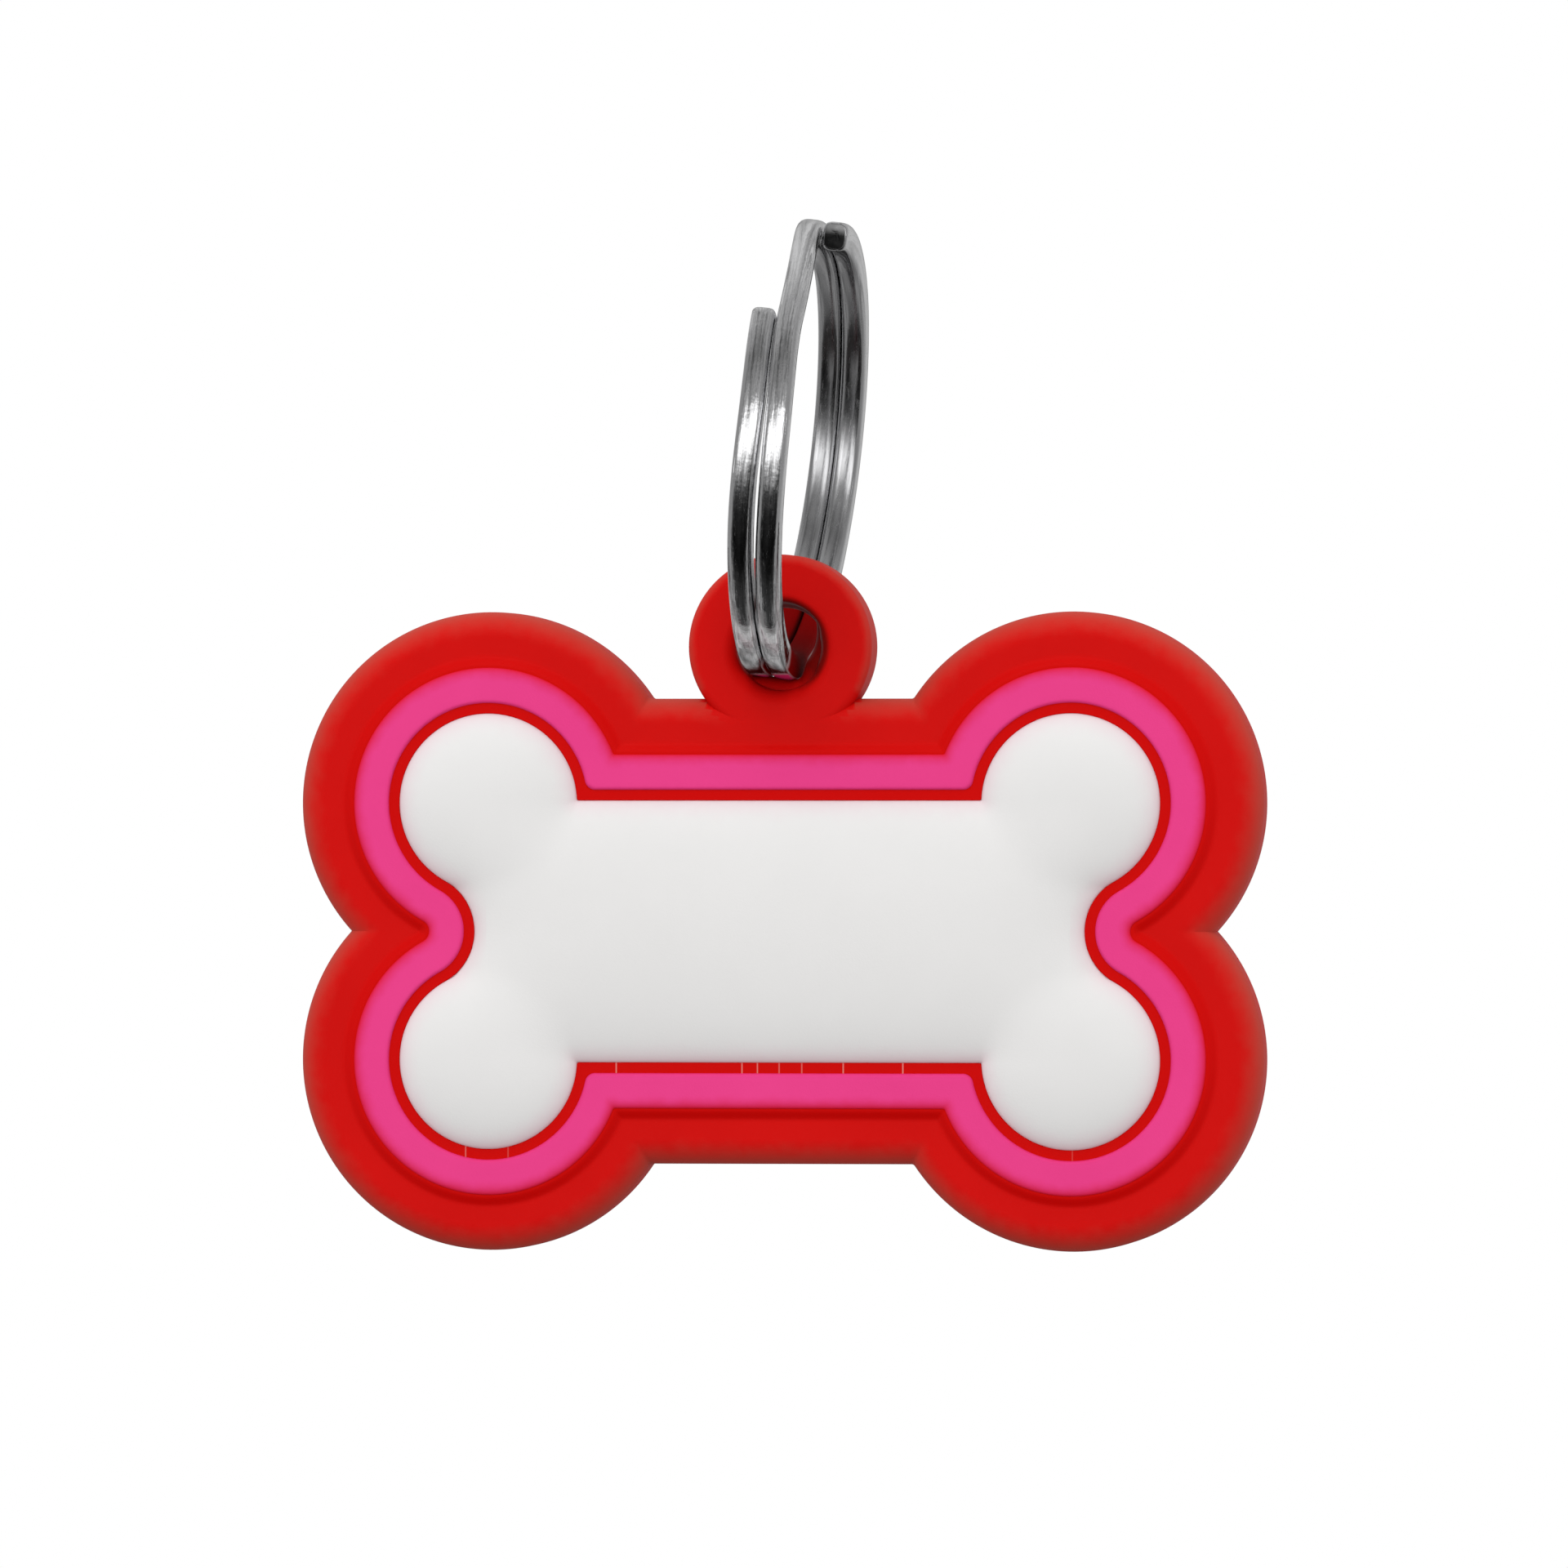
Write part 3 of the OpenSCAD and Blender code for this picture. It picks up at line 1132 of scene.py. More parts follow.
    def red_body(self) -> Piece:
        """The slab with its slope and seats, the tab added and the tab's hole cut through it.

        The profile runs from the flat back round the back edge, up the side, over the front
        edge's quarter circle, along the border, up the slope and through the band's channel
        and the thin line's floor to the panel's seat.

        Returns:
            The new piece.
        """
        rim, back, border = self.front_round, self.back_round, self.outline.border_w
        top_in, channel_in = border + self.bite, self.band_in - self.bite
        foot_in, seat_in = border - self.slope_w, self.panel_in + self.bite
        side = np.linspace(back - self.face_z, self.face_z - rim, 5)[1:-1]
        outside = np.concatenate([
            arc_profile((back, back - self.face_z), (back, back), 270, 180, 8),
            np.column_stack([np.zeros_like(side), side]),
            arc_profile((rim, self.face_z - rim), (rim, rim), 180, 90, 22),
            [[rim + 0.05, self.face_z], [1.5, self.face_z], [foot_in - 0.1, self.face_z]],
            self.foot_of_slope(foot_in),
            [[top_in - 0.06, self.slope_z - 0.012], [top_in, self.slope_z - self.slope_sunk]],
        ])
        inside = np.array([
            [top_in, self.seat_z], [channel_in, self.seat_z],
            [channel_in, self.line_z - 0.03], [channel_in + 0.02, self.line_z],
            [seat_in - 0.02, self.line_z], [seat_in, self.line_z - 0.02],
            [seat_in, self.seat_z],
        ])
        rows = np.concatenate([
            with_corners(outside, self.edge_corner, self.band_corner),
            with_corners(inside, self.band_corner, self.panel_corner),
        ])
        # The line's outer edge follows the band's inner one, which has a larger corner
        rows[-5:-3, 2] = self.line_corner
        upright = self.face_z - rim + self.wall_fade - rows[:, 1:2]
        upright = np.clip(upright / self.wall_fade, 0, 1)
        skin = Skin("moulded_red_body", self.marks)
        skin.grid(
            self.hang(self.outline.loft(rows)),
            rim=np.maximum(rows[:, :1], self.wall_haze * upright),
            # The seam's mask, where a painted shade deepens the red on the slope and the line
            seam=ease((rows[:, :1] - foot_in + self.seam_before) / self.seam_run),
        )
        inward = np.linspace(0, 1, 12)
        for row, height in ((rows[0], -self.face_z), (rows[-1], self.seat_z)):
            skin.grid(self.hang(self.outline.fill(row[0], row[2], height, inward)), rim=NO_RIM)
        body = skin.build()
        join_shapes(body, self.tab_disc(), "UNION")
        join_shapes(body, self.tab_hole(), "DIFFERENCE")
        self.mark_tab(body.data)
        clean(body, self.sharp)
        return body

    def foot_of_slope(self, foot_in: float) -> np.ndarray:
        """The slope's profile: its height eases up, blended with a straight climb.

        Args:
            foot_in: The inset where the slope starts.

        Returns:
            Rows of inset and height.
        """
        share = np.linspace(0, 1, 9)
        climb = self.slope_ease * ease(share) + (1 - self.slope_ease) * share
        run = self.slope_w + self.bite - 0.12
        return np.column_stack([foot_in + run * share, self.face_z + (self.slope_rise - 0.02) * climb])

    def lathe(self, name: str, profile: np.ndarray) -> Piece:
        """Turns a closed profile round the tab hole's axis.

        Args:
            name: Name of the shape.
            profile: Radius and height for each row, either one pair or one for each step round.

        Returns:
            A closed shape, whose first and last rows lie on the axis.
        """
        turn = np.linspace(0, 2 * np.pi, self.tab_steps, endpoint=False)
        skin = Skin(name)
        skin.grid(self.about_hole(profile[..., 0], turn, profile[..., 1]))
        return skin.build()

    def rubbed(self, turn: np.ndarray) -> np.ndarray:
        """How strong the painted shade on the hole's wall is: 1 about its middle direction, then a fall
        to 0.
        """
        aside = degrees_from(turn, self.hole_shade_at)
        return 1 - np.clip((aside - self.hole_shade_half) / self.hole_shade_fade, 0, 1)

    def mark_tab(self, mesh: bpy.types.Mesh) -> None:
        """Marks the tab: rim, in from its edge in millimetres, and in its hole the wall and the painted
        shade on it.

        The side walls have a rim of at least wall_haze. On the tab it grows tab_haze times as
        fast as the distance in from the edge, and where the tab joins the slab it is 2 more,
        past which no tint shows.

        Args:
            mesh: The red body's mesh.
        """
        x, y, z = gather(mesh.vertices, "co").reshape(-1, 3).T
        across, up = (x - self.middle[0]) / MM, (z - self.middle[1]) / MM
        out = np.hypot(across, up - self.tab_rise)
        half = self.outline.shaft_h / 2
        on_tab = (out < self.tab_r + self.tab_slack) & (up > half - self.join_below)
        joined = np.clip((half + self.join_above - up) / self.join_fade, 0, 1)
        upright = self.face_z - self.tab_round + self.tab_side_fade - np.abs(y) / MM
        upright = np.clip(upright / self.tab_side_fade, 0, 1)
        edge = np.maximum(self.tab_haze * (self.tab_r - out), self.wall_haze * upright)
        rim = gather(mesh.attributes["rim"].data, "value")
        rim[on_tab] = np.maximum(rim, edge + 2 * joined)[on_tab]
        full, faded = self.hole_wall
        wall = np.clip((self.hole_r + faded - out) / (faded - full), 0, 1)
        # The painted shade on the hole's wall
        rubbed = wall * self.rubbed(np.arctan2(up - self.tab_rise, across))
        for name, marks in (("rim", rim), ("wall", wall), ("rubbed", rubbed)):
            mesh.attributes[name].data.foreach_set("value", marks.astype(np.float32))

    def tab_disc(self) -> Piece:
        """The tab: a disc whose two edges are quarter circles.

        Returns:
            The new piece.
        """
        top, edge = self.tab_top, self.tab_round
        rows = np.concatenate([
            [[0.0, -top], [self.tab_r - edge, -top]],
            arc_profile((self.tab_r - edge, edge - top), (edge, edge), 270, 360, 12),
            arc_profile((self.tab_r - edge, top - edge), (edge, edge), 0, 90, 12),
            [[0.0, top]],
        ])
        return self.lathe("tab_disc", rows[:, None, :])

    def tab_hole(self) -> Piece:
        """The cutter of the tab's hole, whose rims flare, more so where the ring bears.

        At a height h above the start of a rim of radius q, the cutter's radius is
        hole_r + q - sqrt(q^2 - h^2). In front q grows from rim_round to worn_round towards
        worn_at by cos^4 of half the angle from it, and at the back it is back_lip. Between the rims
        the soft wall swells inwards by hole_swell (1 - (z / top)^2), and by side_swell more on
        the side that the wire never reaches. It narrows by back_pinch towards the back.

        Returns:
            The new piece.
        """
        turn = np.linspace(0, 2 * np.pi, self.tab_steps, endpoint=False)
        bearing = np.cos((turn - np.radians(self.worn_at)) / 2) ** 2
        flare = self.rim_round + (self.worn_round - self.rim_round) * bearing**2
        top, lip, past = self.tab_top, self.back_lip, self.tab_top + 1.0
        share = np.sin(np.linspace(0, np.pi / 2, 14))[:, None]
        bulge = 1 - np.sqrt(1 - share**2)
        front = np.stack([self.hole_r + flare * bulge, top - flare + flare * share], axis=-1)
        under = np.stack([self.hole_r + lip * bulge, lip - top - lip * share], axis=-1)
        back = np.repeat(under, len(turn), axis=1)[::-1]
        level = np.linspace(lip - top, (top - flare).min(), 12)[1:-1, None] + 0 * turn
        wall = np.stack([np.full_like(level, self.hole_r), level], axis=-1)
        # Both ends go on past the faces and close on the axis
        rows = np.concatenate([
            [[0.0, -past]] + 0 * back[:1], back[:1] * [1, 0] - [0, past], back, wall,
            front, front[-1:] * [1, 0] + [0, past], [[0.0, past]] + 0 * back[:1],
        ])
        radius, height = rows[..., 0], rows[..., 1]
        fuller = ease(1 - (degrees_from(turn, self.swell_at) - self.swell_half) / self.swell_fade)
        swell = (self.hole_swell + self.side_swell * fuller) * np.clip(1 - (height / top) ** 2, 0, 1)
        pinch = self.back_pinch * ease((-height - self.pinch_from) / self.pinch_run)
        off_axis = radius > 0
        radius -= (swell + pinch) * off_axis
        return self.lathe("tab_hole", rows)

    def hole_lip(self) -> Piece:
        """The soft rubber that the wire presses up round itself at the foot of the tab's hole.

        Its section is an ellipse about the radius lip_root, which reaches in to the radius that
        lip_reach gives for each direction round the hole, and tapers away at both ends.

        Returns:
            The new piece.
        """
        way, reach = np.array(self.lip_reach).T
        turn = np.linspace(way[0], way[-1], self.lip_steps)
        depth = self.lip_root - np.interp(turn, way, reach)
        soft = np.hanning(9)[1:-1] / np.hanning(9).sum()
        depth = np.convolve(np.pad(depth, 3, "edge"), soft, "valid")[:, None]
        depth[[0, -1]] = 0
        half = self.lip_half * np.clip(depth / self.lip_full, 0, 1) ** 0.5
        turn = np.radians(turn)[:, None]
        round_it = np.linspace(0, 2 * np.pi, self.lip_section_steps, endpoint=False)
        radius = self.lip_root - depth * np.cos(round_it)
        skin = Skin("soft_hole_lip", self.marks)
        skin.grid(
            self.about_hole(radius, turn, self.lip_at + half * np.sin(round_it)),
            # The lip carries the hole's painted shade too
            rim=NO_RIM, wall=1.0, rubbed=self.rubbed(turn),
        )
        return skin.build()

    def pink_band(self) -> Piece:
        """The band: a closed profile with a broad elliptic shoulder outside and a round inside.

        Returns:
            The new piece.
        """
        first, last = self.outline.border_w, self.band_in
        flat_from, flat_to = self.band_flat
        inner = self.band_inner_round
        profile = np.concatenate([
            [[first, self.seat_z], [first, self.slope_z - 0.05]],
            arc_profile(
                (first + self.band_shoulder, self.slope_z - self.slope_sunk),
                (self.band_shoulder, self.band_proud + self.slope_sunk), 180, 90, 14,
            ),
            [[first + flat_from, self.band_z], [last - flat_to, self.band_z]],
            arc_profile((last - inner, self.band_z - inner), (inner, inner), 90, 0, 8),
            [[last, self.seat_z]],
        ])
        rows = with_corners(profile, self.band_corner, self.band_inner_corner)
        skin = Skin("pink_rubber_band", ("rim", "inner"))
        shape = self.hang(self.outline.loft(rows))
        skin.grid(shape, closed=True, rim=rows[:, :1] - first, inner=last - rows[:, :1])
        return skin.build()

    def panel_height(self, x: np.ndarray, y: np.ndarray) -> np.ndarray:
        """Height of the panel above its edge, in millimetres.

        Each knuckle's dome is dome_h (1 - r^2 / R^2)^p, and the shaft's crown is
        crown_h (1 - y^2 / Y^2)^p sqrt(1 - (1 - s)^2), with s the distance from the notch over
        notch_run, eased away past the knuckle. The two join softly as (a^n + b^n)^(1 / n).

        Args:
            x: Plan positions.
            y: Plan positions.

        Returns:
            One height for each position.
        """
        outline, knuckle = self.outline, self.outline.knuckle
        radius, half = outline.knuckle_r - self.panel_in, outline.shaft_h / 2 - self.panel_in
        across, up = np.abs(x), np.abs(y)
        out = np.hypot(across - knuckle.real, up - knuckle.imag)
        dome = self.dome_h * np.clip(1 - (out / radius) ** 2, 0, 1) ** self.dome_power
        notch_r = outline.notch_r + self.panel_in - outline.border_w
        notch = np.hypot(across - outline.notch_x, up) - notch_r
        share = np.clip(notch / self.notch_run, 0, 1)
        crown = self.crown_h * np.clip(1 - (up / half) ** 2, 0, 1) ** self.dome_power
        crown = crown * np.sqrt(1 - (1 - share) ** 2)
        crown = crown * (1 - ease((across - knuckle.real) / (outline.notch_x - knuckle.real)))
        return (dome**self.blend_power + crown**self.blend_power) ** (1 / self.blend_power)

    def white_panel(self) -> Piece:
        """The writing panel: an upright side under a crowned face, and a flat underside.

        Returns:
            The new piece.
        """
        outline, first, corner = self.outline, self.panel_in, self.panel_corner
        levels = (self.seat_z, self.face_z, self.panel_z)
        side = outline.loft(np.array([[first, level, corner] for level in levels]))
        inward = np.linspace(0, 1, self.panel_steps) ** self.panel_crowding
        face = outline.fill(first, corner, self.panel_z, inward)
        face[..., 2] += self.panel_height(face[..., 0], face[..., 1])
        away = np.hypot(*(face[..., :2] - face[:1, :, :2]).transpose(2, 0, 1))
        below = outline.fill(first, corner, self.seat_z, np.linspace(0, 1, 8))
        skin = Skin("white_writing_panel", ("rim", "inner"))
        skin.grid(self.hang(side))
        skin.grid(self.hang(face), rim=away, inner=away)
        skin.grid(self.hang(below))
        return skin.build()

    def build(self) -> None:
        """Builds, dresses and places the three rubber pieces and the hole's soft lip."""
        # On the red, the rim tint is a painted sheen along its edges, the seam's colour a painted shade
        # on the slope and the line, and the hole's colour a painted shade on the tab hole's wall
        red = RubberFinish(
            name="Red moulded rubber", colour=srgb(209, 14, 11), shade=srgb(204, 12, 9),
            rim_colour=srgb(178, 80, 66), rim_width=1.2, rim_amount=0.72, speck_share=0.03,
            seam_shade_colour=srgb(203, 4, 2), seam_shade_amount=1.0, hole_shade_amount=0.85,
        )
        pink = RubberFinish(
            name="Pink moulded rubber", colour=srgb(234, 66, 138), shade=srgb(231, 63, 135),
            rim_colour=srgb(214, 20, 46), rim_width=0.62, rim_amount=1.0,
            bounce_width=0.25, bounce_colour=srgb(220, 44, 108), bounce_amount=0.8,
            mirrored_amount=0.96,
        )
        white = RubberFinish(
            name="White moulded rubber", colour=srgb(229, 228, 227), shade=srgb(227, 226, 225),
            rim_colour=srgb(206, 120, 140), rim_width=0.16, rim_amount=0.8,
            bounce_width=1.1, bounce_colour=srgb(229, 205, 212), bounce_amount=0.7,
            speck_colour=srgb(196, 192, 190), speck_share=0.04, mirrored_amount=0.75,
        )
        for make, finish, node, slot in (
            (self.red_body, red, Node.RED_BODY, Slot.RED),
            (self.pink_band, pink, Node.PINK_BAND, Slot.PINK),
            (self.white_panel, white, Node.WHITE_PANEL, Slot.WHITE),
        ):
            hand_in(make(), finish.material(), Body.TAG, node)
        lip = self.hole_lip()
        hand_in(lip, bpy.data.materials[red.name], Body.TAG, None)
        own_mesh(lip)


def hand_in(piece: Piece, material: Material, body: Body, node: Node | None) -> None:
    """Dresses a piece, lets it stand for a CAD node and ride on a body, and reports it.

    Args:
        piece: The finished piece.
        material: Its finish.
        body: The body that carries it.
        node: The CAD node that it stands for, if it does.
    """
    piece.data.materials.clear()
    piece.data.materials.append(material)
    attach(piece, body.value)
    if node:
        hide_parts(node.value)
    sizes = len(piece.data.vertices), len(piece.data.polygons)
    log.info("%s: %d points, %d faces, on %s", piece.name, *sizes, body.value)


# The ring


@dataclass
class WoundRing:
    """The split ring: one wire wound twice round, which crosses from turn to turn near the top.

    Sizes are in millimetres and angles in degrees.
    """

    ring_d: float = 20.0
    wire_t: float = 1.25
    wire_w: float = 1.06
    turn_gap: float = 0.04
    front_end: float = 38.0
    crossing: float = 52.0
    lean: float = 6.7
    yaw: float = 3.2
    squareness: float = 3.7
    bow: float = 0.36
    bow_at: float = 40.0
    bow_spread: float = 25.0
    gape: float = 0.15
    gape_at: float = 703.0
    gape_spread: float = 30.0
    end_short: float = 2.6
    end_long: float = 3.6
    section_steps: int = 44
    cap_reach: tuple[float, ...] = (1.0, 0.93, 0.8, 0.4, 0.0)
    cap_push: tuple[float, ...] = (0.0, 0.077, 0.11, 0.11, 0.11)
    step_deg: float = 1.5
    sharp: float = 50.0

    def section(self) -> np.ndarray:
        """The wire's section as a superellipse, |u / a|^n + |v / b|^n = 1, in millimetres.

        With t the angle round it, each point lies at (cos t, sin t) times
        (|cos t|^n + |sin t|^n)^(-1 / n), which spaces the points evenly.

        Returns:
            Rows of u, out from the ring's middle, and v, along its axis.
        """
        turn = np.linspace(0, 2 * np.pi, self.section_steps, endpoint=False)
        across, along = np.cos(turn), np.sin(turn)
        power = self.squareness
        size = (np.abs(across) ** power + np.abs(along) ** power) ** (-1 / power)
        return np.column_stack([self.wire_t / 2 * across * size, self.wire_w / 2 * along * size])

    def sweep(self) -> tuple[np.ndarray, np.ndarray]:
        """Carries the section along the wire.

        The wire's middle lies at r (cos a, sin a), with a from the end at the top once round,
        across and once round again, and moves sideways by pitch times 3 s^2 - 2 s^3 over the
        crossing. Near its free front end the ring also bows aside by bow exp(-(d / spread)^2),
        with d the degrees from bow_at, and the last turn gapes in the same way about gape_at. The
        section stands on the radial direction e and on e x tangent.

        Returns:
            A grid of points in the ring's own plane, in millimetres, and the way along it.
        """
        first = self.front_end + self.crossing - self.end_long
        total = 720 - self.crossing + self.end_long - self.end_short
        angle = np.radians(first + np.linspace(0, total, int(total / self.step_deg) + 1))
        wound, level = np.degrees(angle), np.zeros_like(angle)
        radius = (self.ring_d - self.wire_t) / 2
        pitch = self.wire_w + self.turn_gap
        side = pitch * (ease((wound - 360 - self.front_end) / self.crossing) - 0.5)
        side += self.bow * np.exp(-((degrees_from(angle, self.bow_at) / self.bow_spread) ** 2))
        side += self.gape * np.exp(-(((wound - self.gape_at) / self.gape_spread) ** 2))
        out = np.stack([np.cos(angle), np.sin(angle), level], axis=1)
        middle = radius * out + np.stack([level, level, side], axis=1)
        tangent = np.gradient(middle, axis=0)
        tangent /= np.linalg.norm(tangent, axis=1, keepdims=True)
        across = np.cross(out, tangent)
        across /= np.linalg.norm(across, axis=1, keepdims=True)
        high, wide = self.section().T[:, None, :, None]
        grid = middle[:, None] + high * out[:, None] + wide * across[:, None]
        length = np.concatenate([[0], np.cumsum(np.linalg.norm(np.diff(middle, axis=0), axis=1))])
        return self.with_ends(grid, middle, tangent), length

    def with_ends(self, grid: np.ndarray, middle: np.ndarray, tangent: np.ndarray) -> np.ndarray:
        """Closes both square ends of the wire, each with a slightly broken edge.

        Args:
            grid: The swept sections.
            middle: The wire's middle at each.
            tangent: Its direction at each.

        Returns:
            The grid with the rows of both ends, which shrink by cap_reach as they step out by cap_push.
        """
        reach, push = np.array([self.cap_reach, self.cap_push])[:, 1:, None, None]
        first, last = (
            middle[end] + (grid[end] - middle[end]) * reach + push * way * tangent[end]
            for end, way in ((0, -1.0), (-1, 1.0))
        )
        return np.concatenate([first[::-1], grid, last])

    def hang(self, points: np.ndarray) -> np.ndarray:
        """Carries the ring's plane to the frame, in metres.

        A point (x, y, z) of the plane lies at (-z, -x, y), with the ring's inside top at the
        origin. It is then turned by -yaw about the upright axis and by lean about the depth axis.

        Args:
            points: Points in the ring's own plane, in millimetres.

        Returns:
            The points in the frame.
        """
        inner = self.ring_d / 2 - self.wire_t
        x, y, z = -points[..., 2], -points[..., 0], points[..., 1] - inner
        yaw, lean = math.radians(-self.yaw), math.radians(self.lean)
        x, y = x * math.cos(yaw) - y * math.sin(yaw), x * math.sin(yaw) + y * math.cos(yaw)
        x, z = x * math.cos(lean) + z * math.sin(lean), z * math.cos(lean) - x * math.sin(lean)
        return np.stack([x, y, z], axis=-1) * MM

    def build(self) -> None:
        """Builds, dresses and places the ring."""
        grid, length = self.sweep()
        extra = len(self.cap_reach) - 1
        along = np.pad(length, extra, "edge")[:, None]
        reach = np.pad(np.ones(len(length)), extra)
        reach[:extra], reach[-extra:] = self.cap_reach[:0:-1], self.cap_reach[1:]
        cut = np.pad(np.zeros(len(length) + 2), extra - 1, constant_values=1.0)
        outward, aside = (self.section() / [self.wire_t / 2, self.wire_w / 2]).T
        towards = np.where(along > length[-1] / 2, -1.0, 1.0)
        skin = Skin("wound_split_ring", ("along", "around", "outward", "cut", "facing"))
        skin.grid(
            self.hang(grid), along=along, around=np.arange(self.section_steps) / self.section_steps,
            outward=reach[:, None] * outward, cut=cut[:, None], facing=np.clip(towards * aside, 0, 1),
        )
        ring = skin.build(self.sharp)
        self.unwrap(ring.data)
        hinge = next(joint for joint in frame["joints"] if joint["name"] == "tag_swing")
        finish = SteelFinish(hole=tuple(hinge["pos_m"]))
        hand_in(ring, finish.material(), Body.RING, Node.SPLIT_RING)

    def unwrap(self, mesh: bpy.types.Mesh) -> None:
        """Lays the UV map wire from the values along and around, closed where the section ends.

        Args:
            mesh: The ring's mesh.
        """
        corners = gather(mesh.loops, "vertex_index", np.int32)
        u, v = (gather(mesh.attributes[name].data, "value")[corners] for name in ("along", "around"))
        totals = gather(mesh.polygons, "loop_total", np.int32)
        face_of = np.repeat(np.arange(len(totals)), totals)
        highest = np.zeros(len(totals), np.float32)
        np.maximum.at(highest, face_of, v)
        v = np.where((highest[face_of] > 0.75) & (v < 0.25), v + 1, v)
        layer = mesh.uv_layers.new(name="wire")
        layer.data.foreach_set("uv", np.column_stack([u, v]).astype(np.float32).ravel())


# The studio


@dataclass(frozen=True)
class Studio:
    """A plain white set: pale floor, soft light, and cards that only reflections see.

    Places are in metres, the card's levels are given for degrees up from the camera's side, and
    its fades and its taper for how far a direction leans to the side.
    """

    floor_z: float = -0.085
    floor_half: float = 0.55
    floor_white: float = 0.62
    sky: Pair = (0.12, 0.95)
    sky_rise: Pair = (-1.0, -0.25)
    key_spot: Triple = (-0.08, -0.42, 0.42)
    key_aim: Triple = (-0.002, 0.0, -0.025)
    key_power: float = 1.15
    key_size: float = 0.35
    card_radius: float = 0.42
    card_drop: float = 0.068
    card_z: float = -0.012
    card_half: float = 6.0
    card_side: float = 0.26
    card_fade: Pair = (0.8, 2.0)
    card_bands: Pair = (0.5, 1.25)
    band_scale: Triple = (6.5, 0.7, 1.0)
    card_taper: float = 0.7
    taper_rise: Pair = (-1.25, -0.6)
    taper_aside: float = 0.15
    card_wobble: float = 0.14
    wobble_scale: Triple = (5.0, 2.2, 1.0)
    card_levels: tuple[Pair, ...] = (
        (-180, 0.4), (-150, 0.22), (-126, 0.3), (-108, 0.2), (-94, 0.04), (-60, 0.004),
        (-32, 0.012), (-22, 0.05), (-12, 0.3), (-4, 1.0), (1, 1.5), (13, 1.5), (24, 0.34), (46, 0.15),
        (75, 0.34), (110, 0.5), (180, 0.4),
    )

    def world(self) -> None:
        """White behind the object, and a soft gradient of light from above on it.

        Rays from the camera and reflections see plain white. Diffuse light climbs from its low
        level to its high one as the upward part of its direction goes through sky_rise.
        """
        world = bpy.data.worlds.new("White studio")
        bpy.context.scene.world = world
        world.use_nodes = True
        world.node_tree.nodes.clear()
        made = Sockets(world.node_tree)
        up = made.parts(made.put("TexCoord").outputs["Generated"])["Z"]
        level = made.remap(up, *self.sky_rise, *self.sky, smooth=True)
        light, white = (
            made.feed(made.put("Background"), Color=grey(1.0), Strength=strength)[0]
            for strength in (level, 1.0)
        )
        both = made.feed(made.put("MixShader"), in0=made.seen(), in1=light, in2=white)
        made.feed(made.put("OutputWorld"), Surface=both[0])

    def floor(self) -> None:
        """A pale floor that keeps the object's shadow and is otherwise as white as the backdrop."""
        turns = ((-1, -1), (1, -1), (1, 1), (-1, 1))
        corners = [(x * self.floor_half, y * self.floor_half, self.floor_z) for x, y in turns]
        floor = add_mesh("pale_floor", np.array(corners), np.arange(4))
        material, made, shader = new_material("Pale paper floor", "MixShader")
        fibre = made.noise(made.place(), 2.0, 3.0)
        paper = made.feed(
            made.put("BsdfPrincipled"), Roughness=0.9, Specular_IOR_Level=0.1,
            Base_Color=made.blend(fibre, srgb(240, 240, 240), srgb(246, 246, 246)),
        )[0]
        white = made.feed(made.put("Emission"), Color=grey(1.0), Strength=1.0)[0]
        made.feed(shader, in0=made.times(made.seen(), self.floor_white), in1=paper, in2=white)
        floor.data.materials.append(material)
        floor.visible_diffuse = False

    def reflector(self) -> None:
        """A tunnel of cards about the X axis, which only reflections see.

        With a the angle up from the camera's side, it lies at y = -R cos a and at z = R sin a
        above, or r sin a below, just over the floor.
        """
        angle = np.radians(np.linspace(-180, 180, 145))
        turn, x = np.meshgrid(angle, np.linspace(-self.card_half, self.card_half, 13), indexing="ij")
        reach = np.where(turn < 0, self.card_drop, self.card_radius)
        points = np.stack([x, -self.card_radius * np.cos(turn), self.card_z + reach * np.sin(turn)], -1)
        index = np.arange(x.size).reshape(x.shape)
        quads = np.stack([index[:-1, :-1], index[:-1, 1:], index[1:, 1:], index[1:, :-1]], axis=-1)
        card = add_mesh("studio_card", points, quads)
        card.data.materials.append(self.card_material())
        for way in ("camera", "diffuse", "shadow", "transmission", "volume_scatter"):
            setattr(card, f"visible_{way}", False)

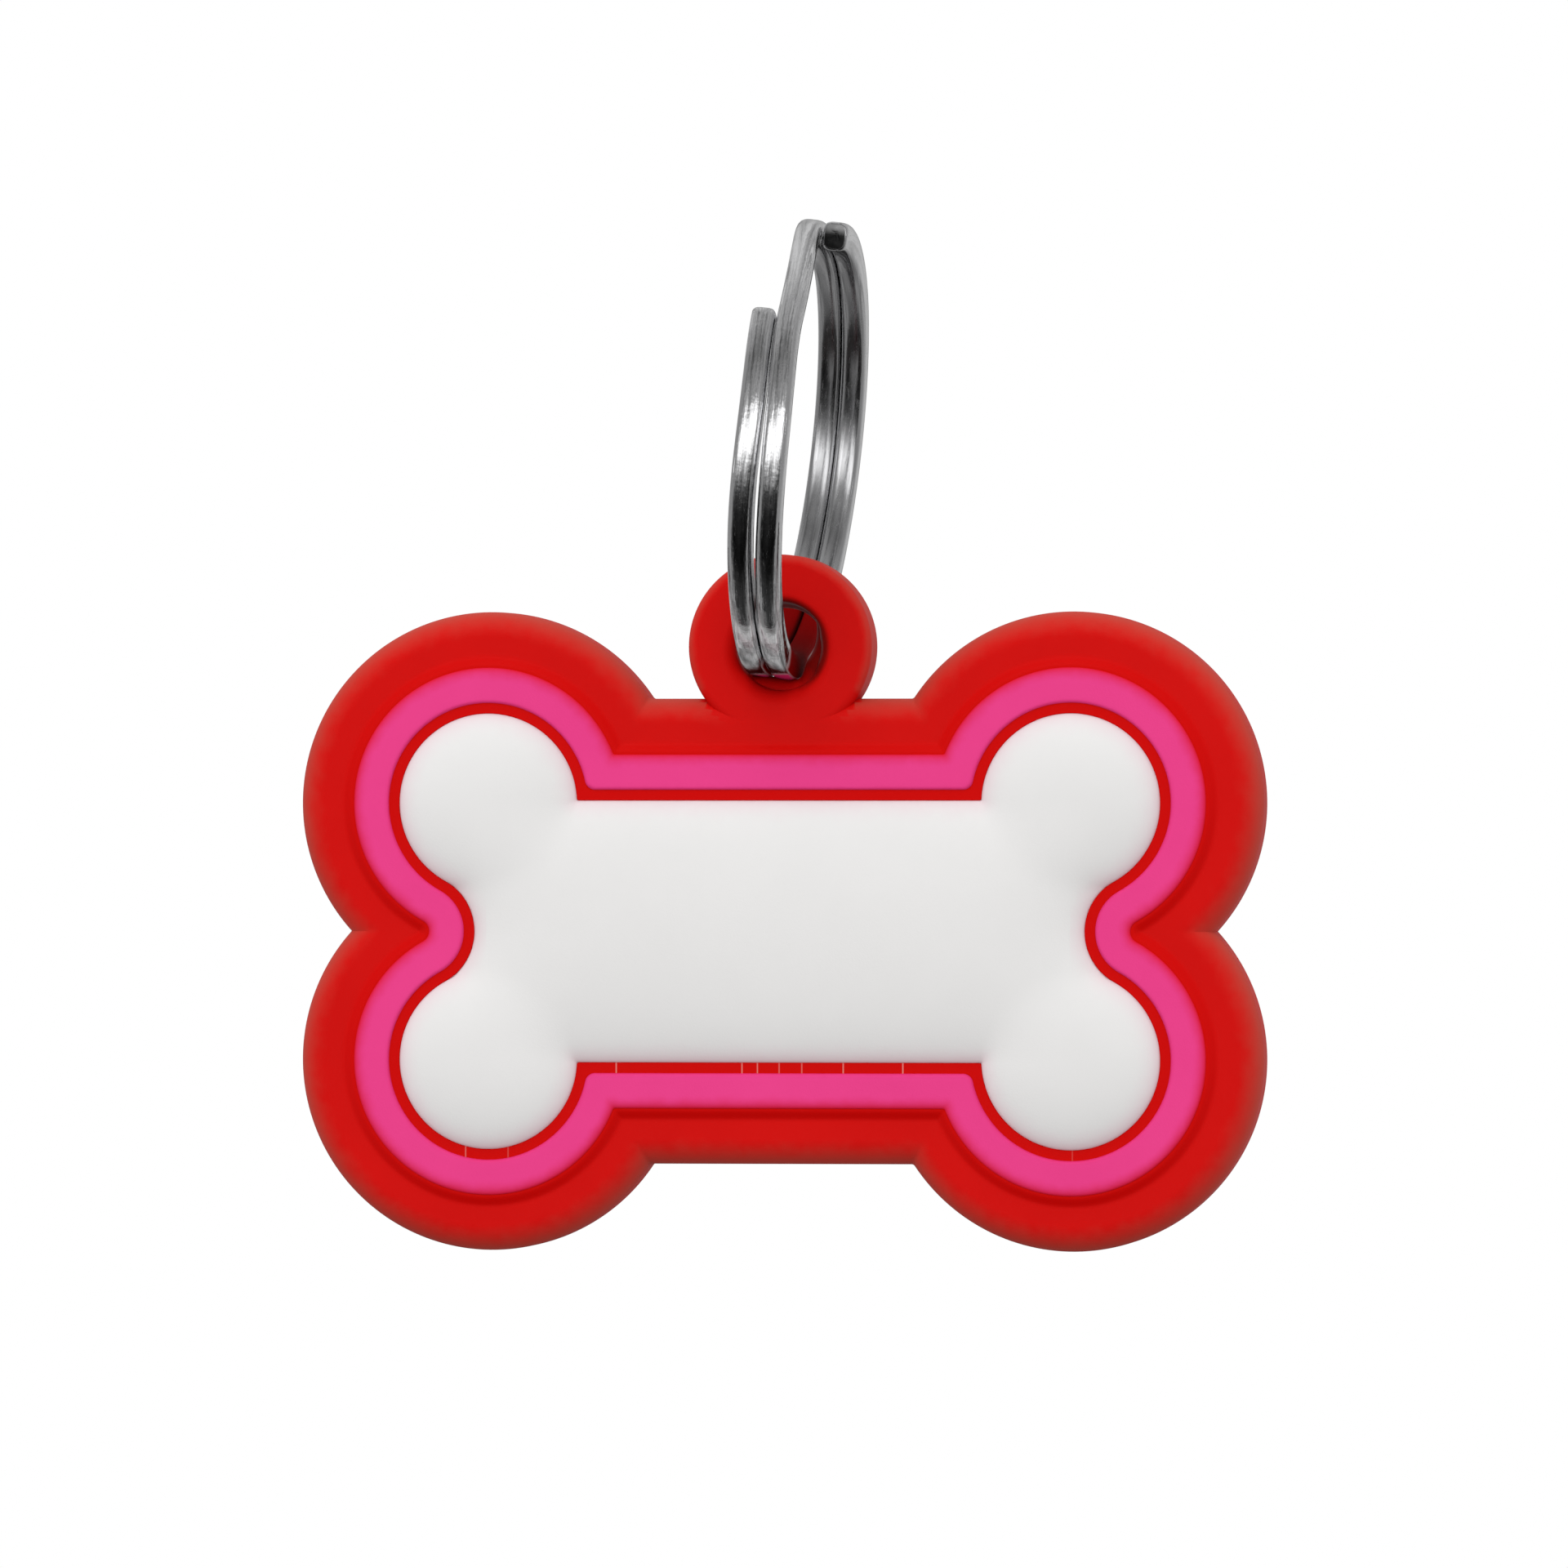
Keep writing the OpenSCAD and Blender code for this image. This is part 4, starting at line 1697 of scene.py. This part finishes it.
    def card_material(self) -> Material:
        """The card's glow, whose level follows the direction's angle up from the camera's side.

        Noise moves the angle to and fro, a taper drops it at both sides low down, bands across
        it vary the level, and it fades to one level towards the card's open sides.

        Returns:
            The new material.
        """
        material, made, glow = new_material("Studio card", "Emission")
        spot = made.parts(made.place())
        front = made.times(spot["Y"], -1.0)
        height = made.math("SUBTRACT", spot["Z"], self.card_z)
        rise = made.math("ARCTAN2", height, front)
        aside = made.math("DIVIDE", spot["X"], made.length(front, height))
        way = made.feed(made.put("CombineXYZ"), X=aside, Y=rise)[0]
        streak = made.streaks(way, self.wobble_scale, 3.0, 0.6)
        wobble = made.remap(streak, 0.3, 0.7, -self.card_wobble, self.card_wobble)
        low = made.remap(rise, *self.taper_rise, self.card_taper, 0.0, smooth=True)
        taper = made.times(made.math("ABSOLUTE", made.plus(aside, self.taper_aside)), low)
        risen = made.math("SUBTRACT", made.plus(rise, wobble), taper)
        level = made.steps(made.remap(risen, -math.pi, math.pi), tuple(
            ((degrees + 180) / 360, amount) for degrees, amount in self.card_levels
        ))
        bands = made.streaks(way, self.band_scale, 2.0, 0.55, 3.0)
        bands = made.remap(bands, 0.36, 0.6, *self.card_bands)
        level = made.blend(1.0, level, bands, "MULTIPLY")
        sides = made.remap(made.math("ABSOLUTE", aside), *self.card_fade, smooth=True)
        made.feed(glow, Color=made.blend(sides, level, grey(self.card_side)), Strength=1.0)
        return material

    def lamp(self) -> None:
        """A soft square lamp that looks at the object and that reflections don't see."""
        data = bpy.data.lights.new("key_light", "AREA")
        data.energy, data.size = self.key_power, self.key_size
        lamp = add_object("key_light", data)
        lamp.location = self.key_spot
        aim = np.array(self.key_aim) - np.array(self.key_spot)
        flat = math.hypot(aim[0], aim[1])
        lamp.rotation_euler = (math.atan2(flat, -aim[2]), 0, math.atan2(-aim[0], aim[1]))
        lamp.visible_glossy = False

    def build(self) -> None:
        """Sets up the world, the floor, the card and the lamp."""
        self.world()
        self.floor()
        self.reflector()
        self.lamp()
        bpy.context.scene.view_settings.view_transform = "Standard"


@dataclass(frozen=True)
class PhotoCamera:
    """A long lens, level with the object and a little to its right. Places are in metres."""

    aim: Triple = (-0.001730, 0.0, -0.023207)
    away: float = 0.7
    yaw: float = 6.5
    width: float = 0.0681
    sensor: float = 36.0
    clip: Pair = (0.01, 10.0)

    def build(self) -> None:
        """Makes the camera: its lens shows width metres across at the aim's distance."""
        data = bpy.data.cameras.new("photo_camera")
        data.sensor_width = self.sensor
        data.lens = self.sensor * self.away / self.width
        data.clip_start, data.clip_end = self.clip
        camera = add_object("photo_camera", data)
        turn = math.radians(self.yaw)
        offset = np.array([math.sin(turn), -math.cos(turn), 0.0]) * self.away
        camera.location = np.array(self.aim) + offset
        camera.rotation_euler = (math.radians(90), 0, turn)
        bpy.context.scene.camera = camera


def main() -> None:
    """Builds the camera, the studio, the node groups, the tag and the ring, in that order."""
    logging.basicConfig(level=logging.INFO, format="%(name)s: %(message)s")
    PhotoCamera().build()
    Studio().build()
    grain_group()
    specks_group()
    rim_group()
    RubberTag().build()
    WoundRing().build()


if __name__ == "__main__":
    main()
